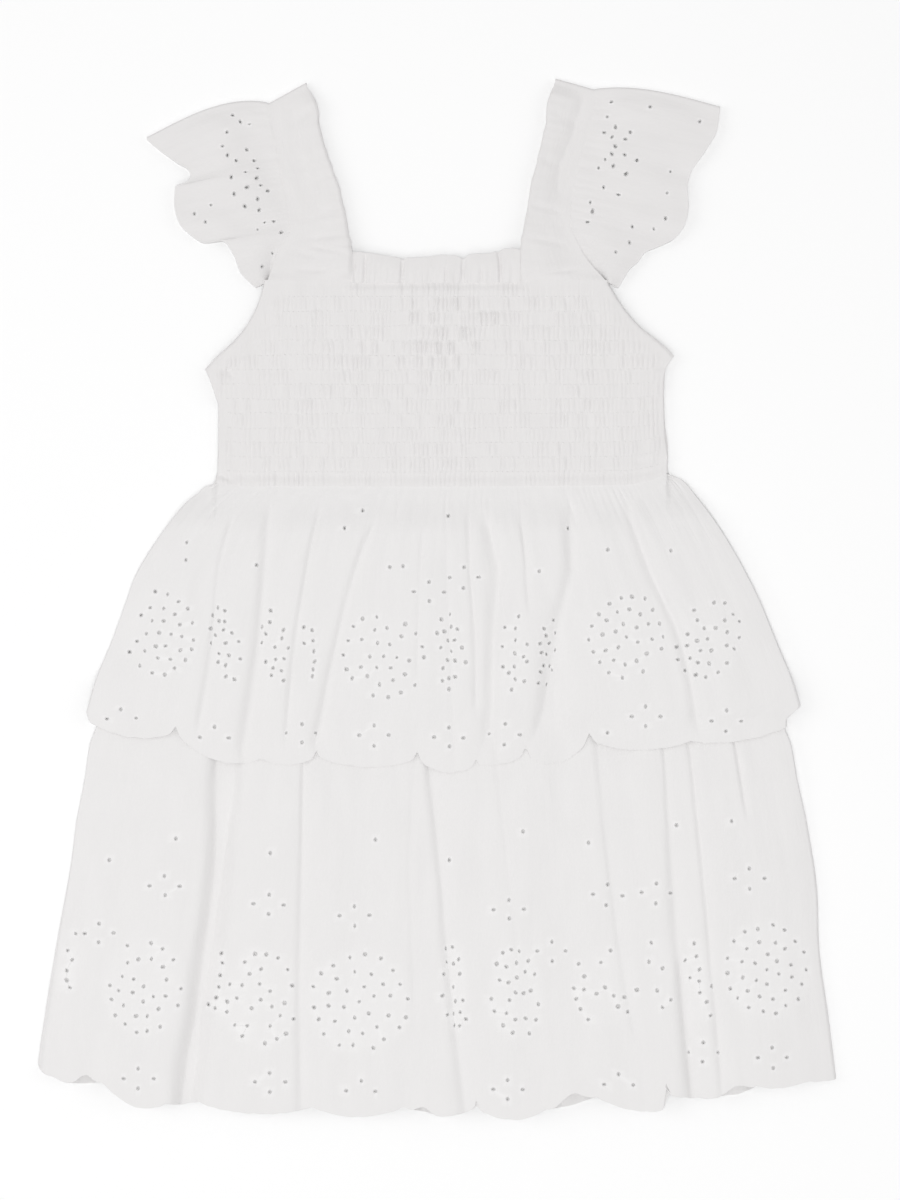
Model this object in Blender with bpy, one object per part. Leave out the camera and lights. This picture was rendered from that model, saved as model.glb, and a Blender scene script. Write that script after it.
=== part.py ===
"""Toddler sundress laid flat on its back: a square-necked shirred bodice on two broad straps with flutter
sleeves, over a skirt of two gathered tiers with scalloped hems.

The tables are in millimetres and the meshes in metres. +X is to the right as the front is seen, +Y runs from
the hem to the neck, +Z is up. The origin lies under the middle of the dress, on the surface it rests on.
"""

import math

import bmesh
import bpy

MM = 0.001

# Cloth and how its layers lie
WALL = 1.3                 # thickness of one layer of cloth
SEAM = 0.3                 # space left between two pieces
LAYER = WALL + SEAM        # what one more layer adds to the height
COLUMNS = 64               # divisions across the bodice and across each tier
FLAT_ANGLE = math.radians(0.02)   # faces closer in angle than this are one flat face

# Bodice
BODICE_TOP = 154.5         # height of the line that the straps and the neck frill are sewn to
BODICE_BACK_WALL = 2.0     # the shirred back, pressed flat
BODICE_WALL = 1.7          # the shirred front, without its puffs
BODICE_CROWN = 0.7         # how far the front rises from its side seams to its middle
ELASTIC_ROWS = 14          # puffed bands between the rows of elastic
PUFF_RISE = 1.5            # height of a puff over the elastic
PUFF_LOW_SHARE = 0.35      # share of that height in the hollow between two puffs
SMOOTH_SIDE = 13.0         # width beside an armhole where the shirring fades out

# Waist seam: x, y
WAIST = ((-109.0, 56.0), (-95.0, 54.6), (0.0, 54.2), (90.0, 55.0), (103.0, 57.0), (113.0, 61.0))

# Side edges of the bodice, from the waist past the underarm tip to the neck line: y, x
BODICE_LEFT = ((54.0, -109.0), (62.0, -107.5), (93.5, -107.0), (100.0, -109.0), (107.0, -111.5),
               (111.5, -113.5), (117.5, -108.0), (126.5, -98.5), (133.5, -93.0), (145.5, -87.0),
               (154.5, -84.5))
BODICE_RIGHT = ((54.0, 113.0), (70.5, 113.0), (83.5, 111.5), (100.0, 111.0), (109.0, 111.5),
                (117.5, 116.0), (122.0, 112.0), (133.5, 98.5), (140.5, 92.5), (145.5, 89.0),
                (154.5, 83.5))

# Neck frill
FRILL_COLUMNS = 42
FRILL_WAVES = 14
FRILL_RISE = 1.5           # height of its waves at the free edge
FRILL_EDGE_SWAY = 0.7      # how far the waves move the free edge up and down the dress
FRILL_SPAN = (-41.1, 40.1)
FRILL_EDGE = ((-42.0, 168.5), (-33.0, 168.5), (-25.0, 167.0), (-13.0, 166.5), (16.0, 168.2), (26.0, 168.5),
              (36.0, 170.5), (41.0, 171.5))          # x, y

# Straps, from the bodice to the shoulder fold: share of the way, inner x, inner y, outer x, outer y
STRAP_LEFT = ((0.00, -41.5, 154.8, -83.0, 154.8), (0.14, -41.5, 170.5, -78.5, 167.0),
              (0.29, -43.5, 181.5, -71.5, 179.5), (0.47, -47.0, 197.5, -73.5, 195.0),
              (0.69, -54.0, 218.5, -77.5, 214.5), (0.82, -57.0, 229.5, -79.5, 225.5),
              (0.91, -58.5, 241.0, -81.5, 234.0), (1.00, -64.0, 250.8, -83.0, 240.3))
STRAP_RIGHT = ((0.00, 40.5, 154.8, 83.0, 154.8), (0.14, 40.5, 170.5, 72.5, 167.0),
               (0.29, 43.0, 185.0, 65.0, 181.5), (0.45, 45.5, 200.0, 66.0, 197.0),
               (0.66, 50.5, 220.5, 70.5, 217.0), (0.77, 53.0, 232.0, 73.5, 227.0),
               (0.87, 54.0, 242.0, 76.0, 236.0), (1.00, 58.0, 252.8, 78.0, 247.2))
STRAP_COLUMNS = 5
STRAP_PUCKERS = 14         # creases that the elastic draws in the inner edge of one half
PUCKER_RISE = 0.45
STRAP_LOFT = 0.9           # how far the front half of a strap stands off the back half

# Flutter sleeves, along the free edge: share of the strap's length, edge x, edge y, rise of the ruffle
FLUTTER_LEFT = ((0.02, -88.5, 151.5, 0.0), (0.13, -96.0, 159.0, 1.2), (0.20, -99.5, 167.5, 0.4),
                (0.28, -105.5, 174.5, 2.6), (0.33, -113.5, 173.5, 3.4), (0.40, -121.0, 177.5, 1.2),
                (0.48, -127.0, 184.0, 3.6), (0.57, -128.5, 193.0, 2.2), (0.65, -128.0, 200.5, 3.8),
                (0.74, -120.5, 206.5, 1.0), (0.82, -124.0, 211.5, 2.8), (0.90, -133.0, 217.5, 1.4),
                (1.00, -142.0, 223.8, 0.0))
FLUTTER_RIGHT = ((0.02, 88.5, 151.5, 0.0), (0.10, 94.0, 160.5, 1.0), (0.17, 98.5, 164.5, 0.4),
                 (0.23, 102.0, 169.0, 1.8), (0.30, 108.0, 171.5, 3.2), (0.38, 116.0, 175.5, 1.0),
                 (0.46, 121.5, 183.0, 3.4), (0.54, 123.0, 191.5, 2.0), (0.62, 122.5, 200.0, 3.8),
                 (0.70, 124.0, 207.0, 1.2), (0.80, 131.5, 218.5, 3.0), (0.90, 137.0, 228.5, 1.6),
                 (1.00, 138.5, 238.8, 0.0))
FLUTTER_COLUMNS = 7
FLUTTER_SPREAD = 1.4       # power by which the ruffle rises from its seam to its free edge
FOLD_STEPS = 6             # divisions round the fold on the shoulder
BACK_STEPS = 6             # divisions along the hidden half of a strap or sleeve

# Side edges of the tiers: y, x
UPPER_LEFT = ((56.0, -109.0), (54.5, -113.5), (50.5, -118.0), (48.0, -121.5), (28.5, -137.0), (9.0, -148.5),
              (-1.0, -152.0), (-20.5, -159.0), (-40.0, -167.0), (-56.0, -171.5), (-61.0, -170.0))
UPPER_RIGHT = ((61.0, 113.0), (57.5, 120.5), (50.5, 126.5), (38.0, 136.0), (18.5, 148.0), (-1.0, 158.0),
               (-20.5, 166.0), (-40.0, 174.0), (-53.5, 178.0), (-59.0, 171.0))
LOWER_LEFT = ((56.0, -103.0), (48.0, -112.0), (28.5, -129.0), (9.0, -141.0), (-20.5, -152.0),
              (-45.0, -162.0), (-62.5, -166.5), (-72.0, -170.0), (-89.0, -172.5), (-109.0, -176.5),
              (-128.5, -179.0), (-167.5, -186.0), (-207.0, -192.5), (-228.0, -195.5))
LOWER_RIGHT = ((61.0, 107.0), (50.5, 117.0), (38.0, 128.0), (18.5, 140.0), (-20.5, 158.0), (-45.0, 167.0),
               (-62.5, 170.0), (-72.0, 173.5), (-89.0, 176.5), (-109.0, 181.0), (-148.0, 186.5),
               (-167.5, 187.0), (-207.0, 192.0), (-235.0, 195.5))

# Scalloped hems: x and y of each point between two scallops, and how far the next scallop drops below it
UPPER_HEM = ((-171.0, -59.0, 6.0), (-128.0, -65.0, 8.0), (-86.0, -78.0, 4.0), (-58.5, -77.0, 5.0),
             (-9.5, -78.0, 6.0), (19.0, -80.5, 3.0), (43.5, -76.0, 8.0), (74.0, -69.0, 5.0),
             (124.0, -69.5, 5.0), (178.0, -59.0, 0.0))
LOWER_HEM = ((-195.5, -228.0, 2.0), (-188.5, -233.0, 4.0), (-163.0, -236.0, 7.0), (-133.0, -246.5, 1.5),
             (-116.0, -245.8, 5.0), (-61.0, -248.0, 5.5), (-16.5, -248.0, 5.0), (19.0, -248.6, 5.4),
             (53.0, -250.0, 2.5), (78.0, -243.8, 2.6), (110.6, -250.3, 0.0), (112.6, -243.0, 1.0),
             (147.0, -244.0, 0.8), (156.5, -238.5, 2.0), (181.5, -236.0, 0.5), (195.5, -235.5, 0.0))
SCALLOP_POWER = 0.7        # below 1, so that the scallops are full and the points between them sharp

# Where the front hem rolls up and shows the inside of the back: x, half width, how far it rolls
HEM_ROLLS = ((-172.0, 7.0, 5.0), (-7.0, 5.0, 4.0), (67.0, 9.0, 6.0), (147.0, 8.0, 5.0))

# Rows of the tiers' grids: heights y between the waist row and the last two rows, which follow the hem
UPPER_ROWS = (49.0, 41.0, 31.0, 19.0, 6.0, -8.0, -22.0, -36.0, -50.0)
LOWER_ROWS = (41.0, 19.0, -8.0, -22.0, -36.0, -50.0, -64.0, -78.0, -90.0, -106.0, -124.0, -146.0, -168.0,
              -190.0, -212.0)
DROP_FROM, DROP_TO = -90.0, -106.0      # the lower tier comes down to the surface between these two rows

# How far the fronts stand up, down their length: y, height
UPPER_PUFF = ((61.0, 0.3), (50.0, 1.4), (30.0, 3.0), (0.0, 4.0), (-40.0, 3.6), (-70.0, 2.2), (-87.0, 1.4))
LOWER_PUFF = ((-22.0, 0.0), (-64.0, 1.6), (-90.0, 3.0), (-130.0, 5.0), (-200.0, 5.6), (-254.0, 4.6))
PUFF_REACH = 15.0          # distance from a side edge over which a front rises
TUCK_FROM, TUCK_TO = -48.0, -30.0       # above this the upper front wraps down round the lower tier's edge
COVER_SLACK = 0.4          # more room between the tiers, for the lower one's folds

# Folds of the fronts: x at the four heights of the name, depth of the valley, half width,
# and the heights between which it shows
UPPER_FOLD_HEIGHTS = (50.0, 13.5, -25.5, -70.0)
UPPER_FOLDS = (
    (-121.0, -142.0, -158.0, -168.0, 1.2, 4.0, 40.0, -60.0),
    (-99.0, -103.0, -112.5, -119.0, 2.2, 5.0, 48.0, -60.0),
    (-83.0, -81.5, -90.0, -94.5, 3.6, 5.5, 60.0, -95.0),
    (-63.0, -67.5, -71.5, -76.0, 2.2, 4.5, 60.0, -75.0),
    (-18.0, -40.0, -51.5, -60.5, 3.6, 5.5, 60.0, -95.0),
    (-5.5, -7.0, -10.5, -13.0, 1.4, 4.0, 60.0, -60.0),
    (6.0, 7.0, 5.0, 5.0, 1.6, 4.0, 60.0, -95.0),
    (18.0, 22.0, 26.5, 25.5, 3.8, 6.5, 60.0, -95.0),
    (39.0, 43.0, 45.0, 46.0, 1.6, 4.0, 60.0, -10.0),
    (62.0, 63.5, 56.5, 44.5, 4.2, 6.5, 60.0, -95.0),
    (93.5, 104.0, 119.0, 127.0, 3.6, 5.5, 60.0, -95.0),
    (124.0, 136.0, 149.0, 158.0, 1.4, 4.0, 40.0, -20.0),
)
LOWER_FOLD_HEIGHTS = (-82.0, -130.0, -187.0, -250.0)
LOWER_FOLDS = (
    (-170.0, -177.5, -186.0, -190.0, 1.4, 5.0, -80.0, -225.0),
    (-147.0, -151.0, -153.0, -151.0, 1.6, 6.0, -100.0, -260.0),
    (-107.5, -112.0, -119.0, -126.0, 5.0, 8.0, -60.0, -260.0),
    (-64.0, -66.5, -67.5, -67.0, 3.2, 5.5, -60.0, -260.0),
    (-37.0, -35.0, -34.0, -31.0, 1.4, 6.0, -120.0, -260.0),
    (-8.5, -2.5, 6.5, 12.0, 3.4, 8.0, -60.0, -260.0),
    (29.0, 34.5, 41.0, 44.0, 2.0, 5.0, -60.0, -190.0),
    (56.0, 60.0, 66.0, 72.0, 1.4, 6.0, -110.0, -260.0),
    (75.0, 83.0, 95.5, 106.0, 2.8, 5.5, -60.0, -260.0),
    (110.0, 114.5, 118.0, 122.5, 4.4, 6.0, -60.0, -260.0),
    (125.0, 129.5, 135.5, 140.0, 3.2, 5.0, -60.0, -260.0),
    (147.5, 152.0, 156.0, 160.0, 2.0, 4.5, -60.0, -150.0),
    (170.0, 174.0, 178.0, 181.0, 1.4, 5.0, -100.0, -240.0),
)
FOLD_FADE = 14.0           # length over which a fold's end fades out

# Fine gathers just under the waist seam of the upper tier
GATHER_RISE = 1.3
GATHER_REACH = 20.0        # distance below the seam over which they fade

# How far the hidden backs stay inside the fronts' outlines
BACK_INSET = 0.8

CLOTH_WHITE = (0.80, 0.80, 0.795, 1.0)
CLOTH_ROUGHNESS = 0.9


def mix(start, end, share):
    """The number that lies the given share of the way from start to end."""
    return start + (end - start) * share


def ease(share):
    """A smooth step from 0 to 1."""
    share = min(1.0, max(0.0, share))
    return share * share * (3.0 - 2.0 * share)


def read_table(table, key, column=1):
    """The value of a column where the table's first column, rising or falling, passes the key."""
    rising = table[-1][0] > table[0][0]
    if (key <= table[0][0]) == rising:
        return table[0][column]
    for start, end in zip(table, table[1:]):
        if (key <= end[0]) == rising:
            return mix(start[column], end[column], (key - start[0]) / (end[0] - start[0]))
    return table[-1][column]


def hem_height(hem, x):
    """Height of a scalloped hem at x."""
    for start, end in zip(hem, hem[1:]):
        if x <= end[0]:
            share = min(1.0, max(0.0, (x - start[0]) / (end[0] - start[0])))
            return mix(start[1], end[1], share) - start[2] * math.sin(math.pi * share) ** SCALLOP_POWER
    return hem[-1][1]


def roll_up(x):
    """How far the front hem of the lower tier is rolled up at x."""
    return sum(rise * math.exp(-((x - centre) / half_width) ** 2) for centre, half_width, rise in HEM_ROLLS)


def fold_depth(folds, heights, x, y):
    """Depth of all the valleys of a front at a point."""
    depth_here = 0.0
    for row in folds:
        path = tuple(zip(heights, row[:4]))
        depth, half_width, start, end = row[4:]
        shows = ease((start - y) / FOLD_FADE) * ease((y - end) / FOLD_FADE)
        depth_here += depth * shows * math.exp(-((x - read_table(path, y)) / half_width) ** 2)
    return depth_here


def cloth_wall(name, columns, rows, outer, inner, flat=False):
    """A closed wall of cloth: one sheet at its outer points, its copy at its inner points, and the edge
    between them. outer and inner give a point for a column and row number."""
    bm = bmesh.new()
    bmesh.ops.create_grid(bm, x_segments=columns, y_segments=rows, size=1.0)
    column_layer = bm.verts.layers.int.new("column")
    row_layer = bm.verts.layers.int.new("row")
    for vert in bm.verts:
        vert[column_layer] = round((vert.co.x + 1.0) / 2.0 * columns)
        vert[row_layer] = round((vert.co.y + 1.0) / 2.0 * rows)
    lifted = bmesh.ops.extrude_face_region(bm, geom=bm.faces[:], use_keep_orig=True)
    outer_verts = {item for item in lifted["geom"] if isinstance(item, bmesh.types.BMVert)}
    for vert in bm.verts:
        place = outer if vert in outer_verts else inner
        vert.co = place(vert[column_layer], vert[row_layer])
    bmesh.ops.scale(bm, vec=(MM, MM, MM), verts=bm.verts)
    bmesh.ops.recalc_face_normals(bm, faces=bm.faces)
    if flat:
        bmesh.ops.dissolve_limit(bm, angle_limit=FLAT_ANGLE, verts=bm.verts, edges=bm.edges)
    bmesh.ops.triangulate(bm, faces=bm.faces)
    mesh = bpy.data.meshes.new(name)
    bm.to_mesh(mesh)
    bm.free()
    mesh.shade_smooth()
    mesh.set_sharp_from_angle(angle=math.radians(50.0))
    mesh.materials.append(cotton(name))
    piece = bpy.data.objects.new(name, mesh)
    collection.objects.link(piece)
    return piece


def cotton(name):
    """White cotton for one piece."""
    material = bpy.data.materials.new(name + "_cotton")
    material.use_nodes = True
    shader = material.node_tree.nodes["Principled BSDF"]
    shader.inputs["Base Color"].default_value = CLOTH_WHITE
    shader.inputs["Roughness"].default_value = CLOTH_ROUGHNESS
    shader.inputs["Metallic"].default_value = 0.0
    return material


# ---- Bodice ----------------------------------------------------------------------------------------------

def bodice_place(column, row, rows, inset=0.0):
    """Where a bodice grid point lies in plan."""
    share = row / rows
    level = mix(read_table(WAIST, 0.0), BODICE_TOP, share)
    x = mix(read_table(BODICE_LEFT, level) + inset, read_table(BODICE_RIGHT, level) - inset, column / COLUMNS)
    waist_lift = read_table(WAIST, x) - read_table(WAIST, 0.0)
    y = level + waist_lift * (1.0 - share) ** 2 + SEAM / 2.0 * (1.0 - share) - inset * share
    return x, y, share


def bodice_front():
    rows = 2 * ELASTIC_ROWS
    under = BODICE_BACK_WALL + SEAM

    def outer(column, row):
        x, y, share = bodice_place(column, row, rows)
        across = 2.0 * column / COLUMNS - 1.0
        from_side = (1.0 - abs(across)) * (read_table(BODICE_RIGHT, y) - read_table(BODICE_LEFT, y)) / 2.0
        armhole = ease((y - 105.0) / 20.0)
        shirred = ease(from_side / mix(SMOOTH_SIDE / 3.0, SMOOTH_SIDE, armhole))
        band = 1.0 if row % 2 else 0.0
        pucker = 1.0 if column % 2 else PUFF_LOW_SHARE
        rise = BODICE_CROWN * (1.0 - across ** 8) + PUFF_RISE * shirred * band * pucker
        return x, y, under + BODICE_WALL + rise

    def inner(column, row):
        x, y, share = bodice_place(column, row, rows)
        return x, y, under

    cloth_wall("bodice_front", COLUMNS, rows, outer, inner, flat=True)


def bodice_back():
    rows = ELASTIC_ROWS

    def at_height(z):
        def place(column, row):
            x, y, share = bodice_place(column, row, rows, inset=BACK_INSET)
            return x, y, z
        return place

    cloth_wall("bodice_back", COLUMNS, rows, at_height(BODICE_BACK_WALL), at_height(0.0), flat=True)


# ---- Neck frill ------------------------------------------------------------------------------------------

def neck_frill(name, under, inset, rise):
    """A ruffled strip along the neck line, sewn to the bodice's top row of elastic."""
    rows = 3

    def place(column, row, height):
        share = row / rows
        x = mix(FRILL_SPAN[0], FRILL_SPAN[1], column / FRILL_COLUMNS)
        wave = 0.5 - 0.5 * math.cos(2.0 * math.pi * FRILL_WAVES * column / FRILL_COLUMNS)
        edge = read_table(FRILL_EDGE, x) - inset - FRILL_EDGE_SWAY * wave
        y = mix(BODICE_TOP + SEAM, edge, share)
        return x, y, under + height + rise * wave * (0.3 + 0.7 * share)

    cloth_wall(name, FRILL_COLUMNS, rows,
               lambda column, row: place(column, row, WALL),
               lambda column, row: place(column, row, 0.0), flat=rise == 0.0)


# ---- Straps and flutter sleeves --------------------------------------------------------------------------

def folded_strip(name, columns, shares, plan, loft):
    """A strip of cloth that runs from the front neck line over the shoulder fold to the back neck line.
    plan gives x and y for a share across and a share along, and loft how far the front half stands up."""
    back_middle = WALL / 2.0
    front_middle = back_middle + LAYER
    fold_middle = (front_middle + back_middle) / 2.0
    fold_radius = (front_middle - back_middle) / 2.0
    front_rows = len(shares) - 1
    rows = front_rows + FOLD_STEPS + BACK_STEPS

    def place(column, row, offset):
        across = column / columns
        if row <= front_rows:
            share = shares[row]
            x, y = plan(across, share)
            return x, y, front_middle + loft(across, share) + offset
        if row <= front_rows + FOLD_STEPS:
            turn = math.pi * (row - front_rows) / FOLD_STEPS
            x, y = plan(across, 1.0)
            reach = fold_radius + offset
            return x, y + reach * math.sin(turn), fold_middle + reach * math.cos(turn)
        share = mix(1.0, shares[0], (row - front_rows - FOLD_STEPS) / BACK_STEPS)
        x, y = plan(across, share)
        return x, y, back_middle - offset

    cloth_wall(name, columns, rows,
               lambda column, row: place(column, row, WALL / 2.0),
               lambda column, row: place(column, row, -WALL / 2.0), flat=True)


def strap(name, table):
    shares = [step / (2 * STRAP_PUCKERS) for step in range(2 * STRAP_PUCKERS + 1)]

    def plan(across, share):
        x = mix(read_table(table, share, 1), read_table(table, share, 3), across)
        y = mix(read_table(table, share, 2), read_table(table, share, 4), across)
        return x, y

    def loft(across, share):
        flat_ends = ease(share / 0.1) * ease((1.0 - share) / 0.12)
        pucker = 0.5 - 0.5 * math.cos(2.0 * math.pi * STRAP_PUCKERS * share)
        base = (BODICE_BACK_WALL - WALL) * (1.0 - ease(share / 0.3))
        return base + flat_ends * (STRAP_LOFT * math.sin(math.pi * across) + PUCKER_RISE * pucker
                                   * (1.0 - across) ** 1.5)

    folded_strip(name, STRAP_COLUMNS, shares, plan, loft)


def flutter_sleeve(name, strap_table, edge_table, side):
    """side is -1 for the left sleeve and 1 for the right one."""
    shares = [row[0] for row in edge_table]
    seam = 1.5 * SEAM * side

    def plan(across, share):
        x = mix(read_table(strap_table, share, 3) + seam, read_table(edge_table, share, 1), across)
        y = mix(read_table(strap_table, share, 4), read_table(edge_table, share, 2), across)
        return x, y + SEAM

    def loft(across, share):
        base = (BODICE_BACK_WALL - WALL) * (1.0 - ease(share / 0.3))
        return base + read_table(edge_table, share, 3) * across ** FLUTTER_SPREAD

    folded_strip(name, FLUTTER_COLUMNS, shares, plan, loft)


# ---- Tiers -----------------------------------------------------------------------------------------------

def tier_place(column, row, levels, left, right, hem, inset=0.0, roll=False):
    """Where a tier's grid point lies in plan. Row 0 is the waist seam and the last two rows near the hem."""
    last = len(levels) + 2

    def level(x):
        if row == 0:
            return read_table(WAIST, x) - SEAM / 2.0
        if row <= len(levels):
            return levels[row - 1]
        hem_here = hem_height(hem, x) + (roll_up(x) if roll else 0.0)
        return mix(levels[-1], hem_here, 0.5 if row < last else 1.0)

    left_x = read_table(left, level(left[-1][1] if row > len(levels) else left[0][1])) + inset
    right_x = read_table(right, level(right[-1][1] if row > len(levels) else right[0][1])) - inset
    x = mix(left_x, right_x, column / COLUMNS)
    return x, level(x) + (inset if row == last else 0.0), left_x, right_x


def lower_back_under(y):
    """Height of the lower back tier's underside: on the upper back tier, then down on the surface."""
    return LAYER * min(1.0, max(0.0, (y - DROP_TO) / (DROP_FROM - DROP_TO)))


def rise_of_front(x, y, left_x, right_x, puff, folds, heights):
    """How far a front tier stands up off the layer below it."""
    from_side = min(x - left_x, right_x - x)
    round_side = 1.0 - math.exp(-from_side / PUFF_REACH)
    standing = read_table(puff, y) * round_side
    return max(0.0, standing - min(standing, 1.0) * fold_depth(folds, heights, x, y))


def lower_front_under(x, y, left_x, right_x):
    return lower_back_under(y) + LAYER + rise_of_front(x, y, left_x, right_x, LOWER_PUFF, LOWER_FOLDS,
                                                       LOWER_FOLD_HEIGHTS)


def lower_tier_front():
    rows = len(LOWER_ROWS) + 2

    def place(column, row, height):
        x, y, left_x, right_x = tier_place(column, row, LOWER_ROWS, LOWER_LEFT, LOWER_RIGHT, LOWER_HEM,
                                           roll=True)
        return x, y, lower_front_under(x, y, left_x, right_x) + height

    cloth_wall("lower_tier_front", COLUMNS, rows,
               lambda column, row: place(column, row, WALL),
               lambda column, row: place(column, row, 0.0), flat=True)


def upper_tier_front():
    rows = len(UPPER_ROWS) + 2

    def place(column, row, height):
        x, y, left_x, right_x = tier_place(column, row, UPPER_ROWS, UPPER_LEFT, UPPER_RIGHT, UPPER_HEM)
        lower_left = read_table(LOWER_LEFT, y)
        lower_right = read_table(LOWER_RIGHT, y)
        inside_x = min(lower_right, max(lower_left, x))
        under = lower_front_under(inside_x, y, lower_left, lower_right) + LAYER
        under += COVER_SLACK * ease((20.0 - y) / 40.0)
        at_side = column in (0, COLUMNS)
        if at_side:
            under = mix(under, LAYER, ease((y - TUCK_FROM) / (TUCK_TO - TUCK_FROM)))
        below_seam = read_table(WAIST, x) - y
        gather = GATHER_RISE * (column % 2) * max(0.0, 1.0 - below_seam / GATHER_REACH)
        rise = 0.0 if at_side else gather + rise_of_front(x, y, left_x, right_x, UPPER_PUFF, UPPER_FOLDS,
                                                          UPPER_FOLD_HEIGHTS)
        return x, y, under + rise + height

    cloth_wall("upper_tier_front", COLUMNS, rows,
               lambda column, row: place(column, row, WALL),
               lambda column, row: place(column, row, 0.0), flat=True)


def tier_back(name, levels, left, right, hem, underside):
    rows = len(levels) + 2

    def place(column, row, height):
        x, y, left_x, right_x = tier_place(column, row, levels, left, right, hem, inset=BACK_INSET)
        return x, y, underside(y) + height

    cloth_wall(name, COLUMNS, rows,
               lambda column, row: place(column, row, WALL),
               lambda column, row: place(column, row, 0.0), flat=True)


for old in list(bpy.data.objects):
    bpy.data.objects.remove(old, do_unlink=True)

collection = bpy.data.collections.new("toddler_dress")
bpy.context.scene.collection.children.link(collection)

bodice_front()
bodice_back()
neck_frill("neck_frill_front", BODICE_BACK_WALL + SEAM, 0.0, FRILL_RISE)
neck_frill("neck_frill_back", 0.0, 1.5, 0.0)
strap("strap_left", STRAP_LEFT)
strap("strap_right", STRAP_RIGHT)
flutter_sleeve("flutter_sleeve_left", STRAP_LEFT, FLUTTER_LEFT, -1.0)
flutter_sleeve("flutter_sleeve_right", STRAP_RIGHT, FLUTTER_RIGHT, 1.0)
upper_tier_front()
tier_back("upper_tier_back", UPPER_ROWS, UPPER_LEFT, UPPER_RIGHT, UPPER_HEM, lambda y: 0.0)
lower_tier_front()
tier_back("lower_tier_back", LOWER_ROWS, LOWER_LEFT, LOWER_RIGHT, LOWER_HEM, lower_back_under)
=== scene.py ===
"""White cotton sundress for a small child, laid flat on its back: the finish of every piece.

Plans and heights are worked out in millimetres and the meshes are set in metres. +X is to the right as the
front is seen, +Y runs from the hem to the neck, and +Z is up from the surface that the dress lies on.
"""

import math
from dataclasses import dataclass

import bmesh
import bpy
import numpy as np
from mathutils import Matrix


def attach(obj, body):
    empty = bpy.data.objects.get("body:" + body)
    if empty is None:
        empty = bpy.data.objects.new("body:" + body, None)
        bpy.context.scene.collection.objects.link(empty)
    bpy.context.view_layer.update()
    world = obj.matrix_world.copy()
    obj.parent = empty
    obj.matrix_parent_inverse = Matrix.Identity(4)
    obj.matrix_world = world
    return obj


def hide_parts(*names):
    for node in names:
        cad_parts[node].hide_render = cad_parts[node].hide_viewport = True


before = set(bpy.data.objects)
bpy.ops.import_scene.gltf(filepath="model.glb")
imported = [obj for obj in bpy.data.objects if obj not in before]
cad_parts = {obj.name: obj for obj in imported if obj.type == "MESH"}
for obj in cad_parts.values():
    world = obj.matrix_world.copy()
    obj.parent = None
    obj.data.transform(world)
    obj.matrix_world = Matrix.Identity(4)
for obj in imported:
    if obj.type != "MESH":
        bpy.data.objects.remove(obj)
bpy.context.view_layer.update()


# ---- Front of the bodice ----
# Crinkled white cotton, cut nearly twice as wide as it ends up and sewn across with rows of elastic thread,
# which draw it into bands of small upright puffs. It is joined to the back at the sides and faced at the
# armholes, where the shirring stops short.

MM = 0.001
CLOTH = 0.5  # thickness of the cotton with its crinkle
SEAM = 0.3  # space between two pieces
BODICE_TOP = 154.5  # height of the line that the straps and the neck frill are sewn to
BODICE_ELASTIC = 3.7  # height of the front over the surface, on a row of elastic
BODICE_CROWN = 0.7  # how far the front rises from its side seams to its middle
SIDE_SEAM_HEIGHT = 1.5  # height of its edges: at the side seams and at the armholes
ARMHOLE_HEIGHT = 2.9
SIDE_ROUND = 0.5  # width over which the front comes down to them
ARMHOLE_FROM = 106.0  # y from which an armhole takes over from the side seam, and over what length
ARMHOLE_BLEND = 12.0
ELASTIC_ROWS = 14  # puffed bands between the rows of elastic
PUFF_PITCH = 2.3  # width of one puff
PUFF_RISE = 0.85  # height of the fullest puffs over the elastic
PUFF_DRIFT = 0.35  # how far, in puffs, one band is out of step with the next
SMOOTH_SIDE = 13.0  # width beside an armhole where the shirring fades out
STRAP_FOOT_FROM = 40.0  # distance from the middle at which a strap's foot begins
LET_OUT = 1.8  # how much wider the shirred cloth is when it is let out flat
FULL_PUFFS = (-4.0, 128.0, 34.0, 22.0)  # where the puffs are fullest: x, y and half widths
WAIST_MIDDLE = 54.2
BODICE_SPAN = (-113.5, 116.0)  # its full width, under the arms
# The waist seam: x, y
WAIST = (
    (-109, 56), (-95, 54.6), (0, 54.2), (90, 55), (103, 57), (113, 61))
# The side edges: y, x
BODICE_LEFT = (
    (54, -109), (62, -107.5), (93.5, -107), (100, -109), (107, -111.5), (111.5, -113.5), (117.5, -108),
    (126.5, -98.5), (133.5, -93), (145.5, -87), (154.5, -84.5))
BODICE_RIGHT = (
    (54, 113), (70.5, 113), (83.5, 111.5), (100, 111), (109, 111.5), (117.5, 116), (122, 112),
    (133.5, 98.5), (140.5, 92.5), (145.5, 89), (154.5, 83.5))
# Creases of the smooth sides, where they are drawn by the armholes: from x, y to x, y, half width, depth
BODICE_CREASES = (
    (-58.5, 145, -59, 121, 0.9, 0.5), (-103, 113, -100, 108, 1.2, 0.7), (-107, 110.5, -98, 112.5, 1.4, 0.5),
    (106, 113.5, 114, 113, 1.2, 0.7), (76, 139, 84, 129, 2.5, 0.5), (-80, 139, -91, 122, 3, 0.5),
    (-100, 57.5, -108, 60.5, 1, 0.9), (-74, 118, -70, 96, 2.4, 0.4), (62, 147, 74, 133, 2, 0.4),
    (96, 66, 112, 67.5, 1.6, 0.5))
COTTON_WHITE = (0.815, 0.80, 0.797, 1.0)
COTTON_SHADE = (0.785, 0.77, 0.767, 1.0)
THREAD_WHITE = (0.87, 0.86, 0.857, 1.0)
COTTON_ROUGHNESS = 0.86
WEAVE_PITCH = 0.45  # one thread of the plain weave
WEAVE_BUMP = 0.018
CRINKLE_SIZE = (1.9, 17.0)  # width and length of the crinkle's streaks
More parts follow.
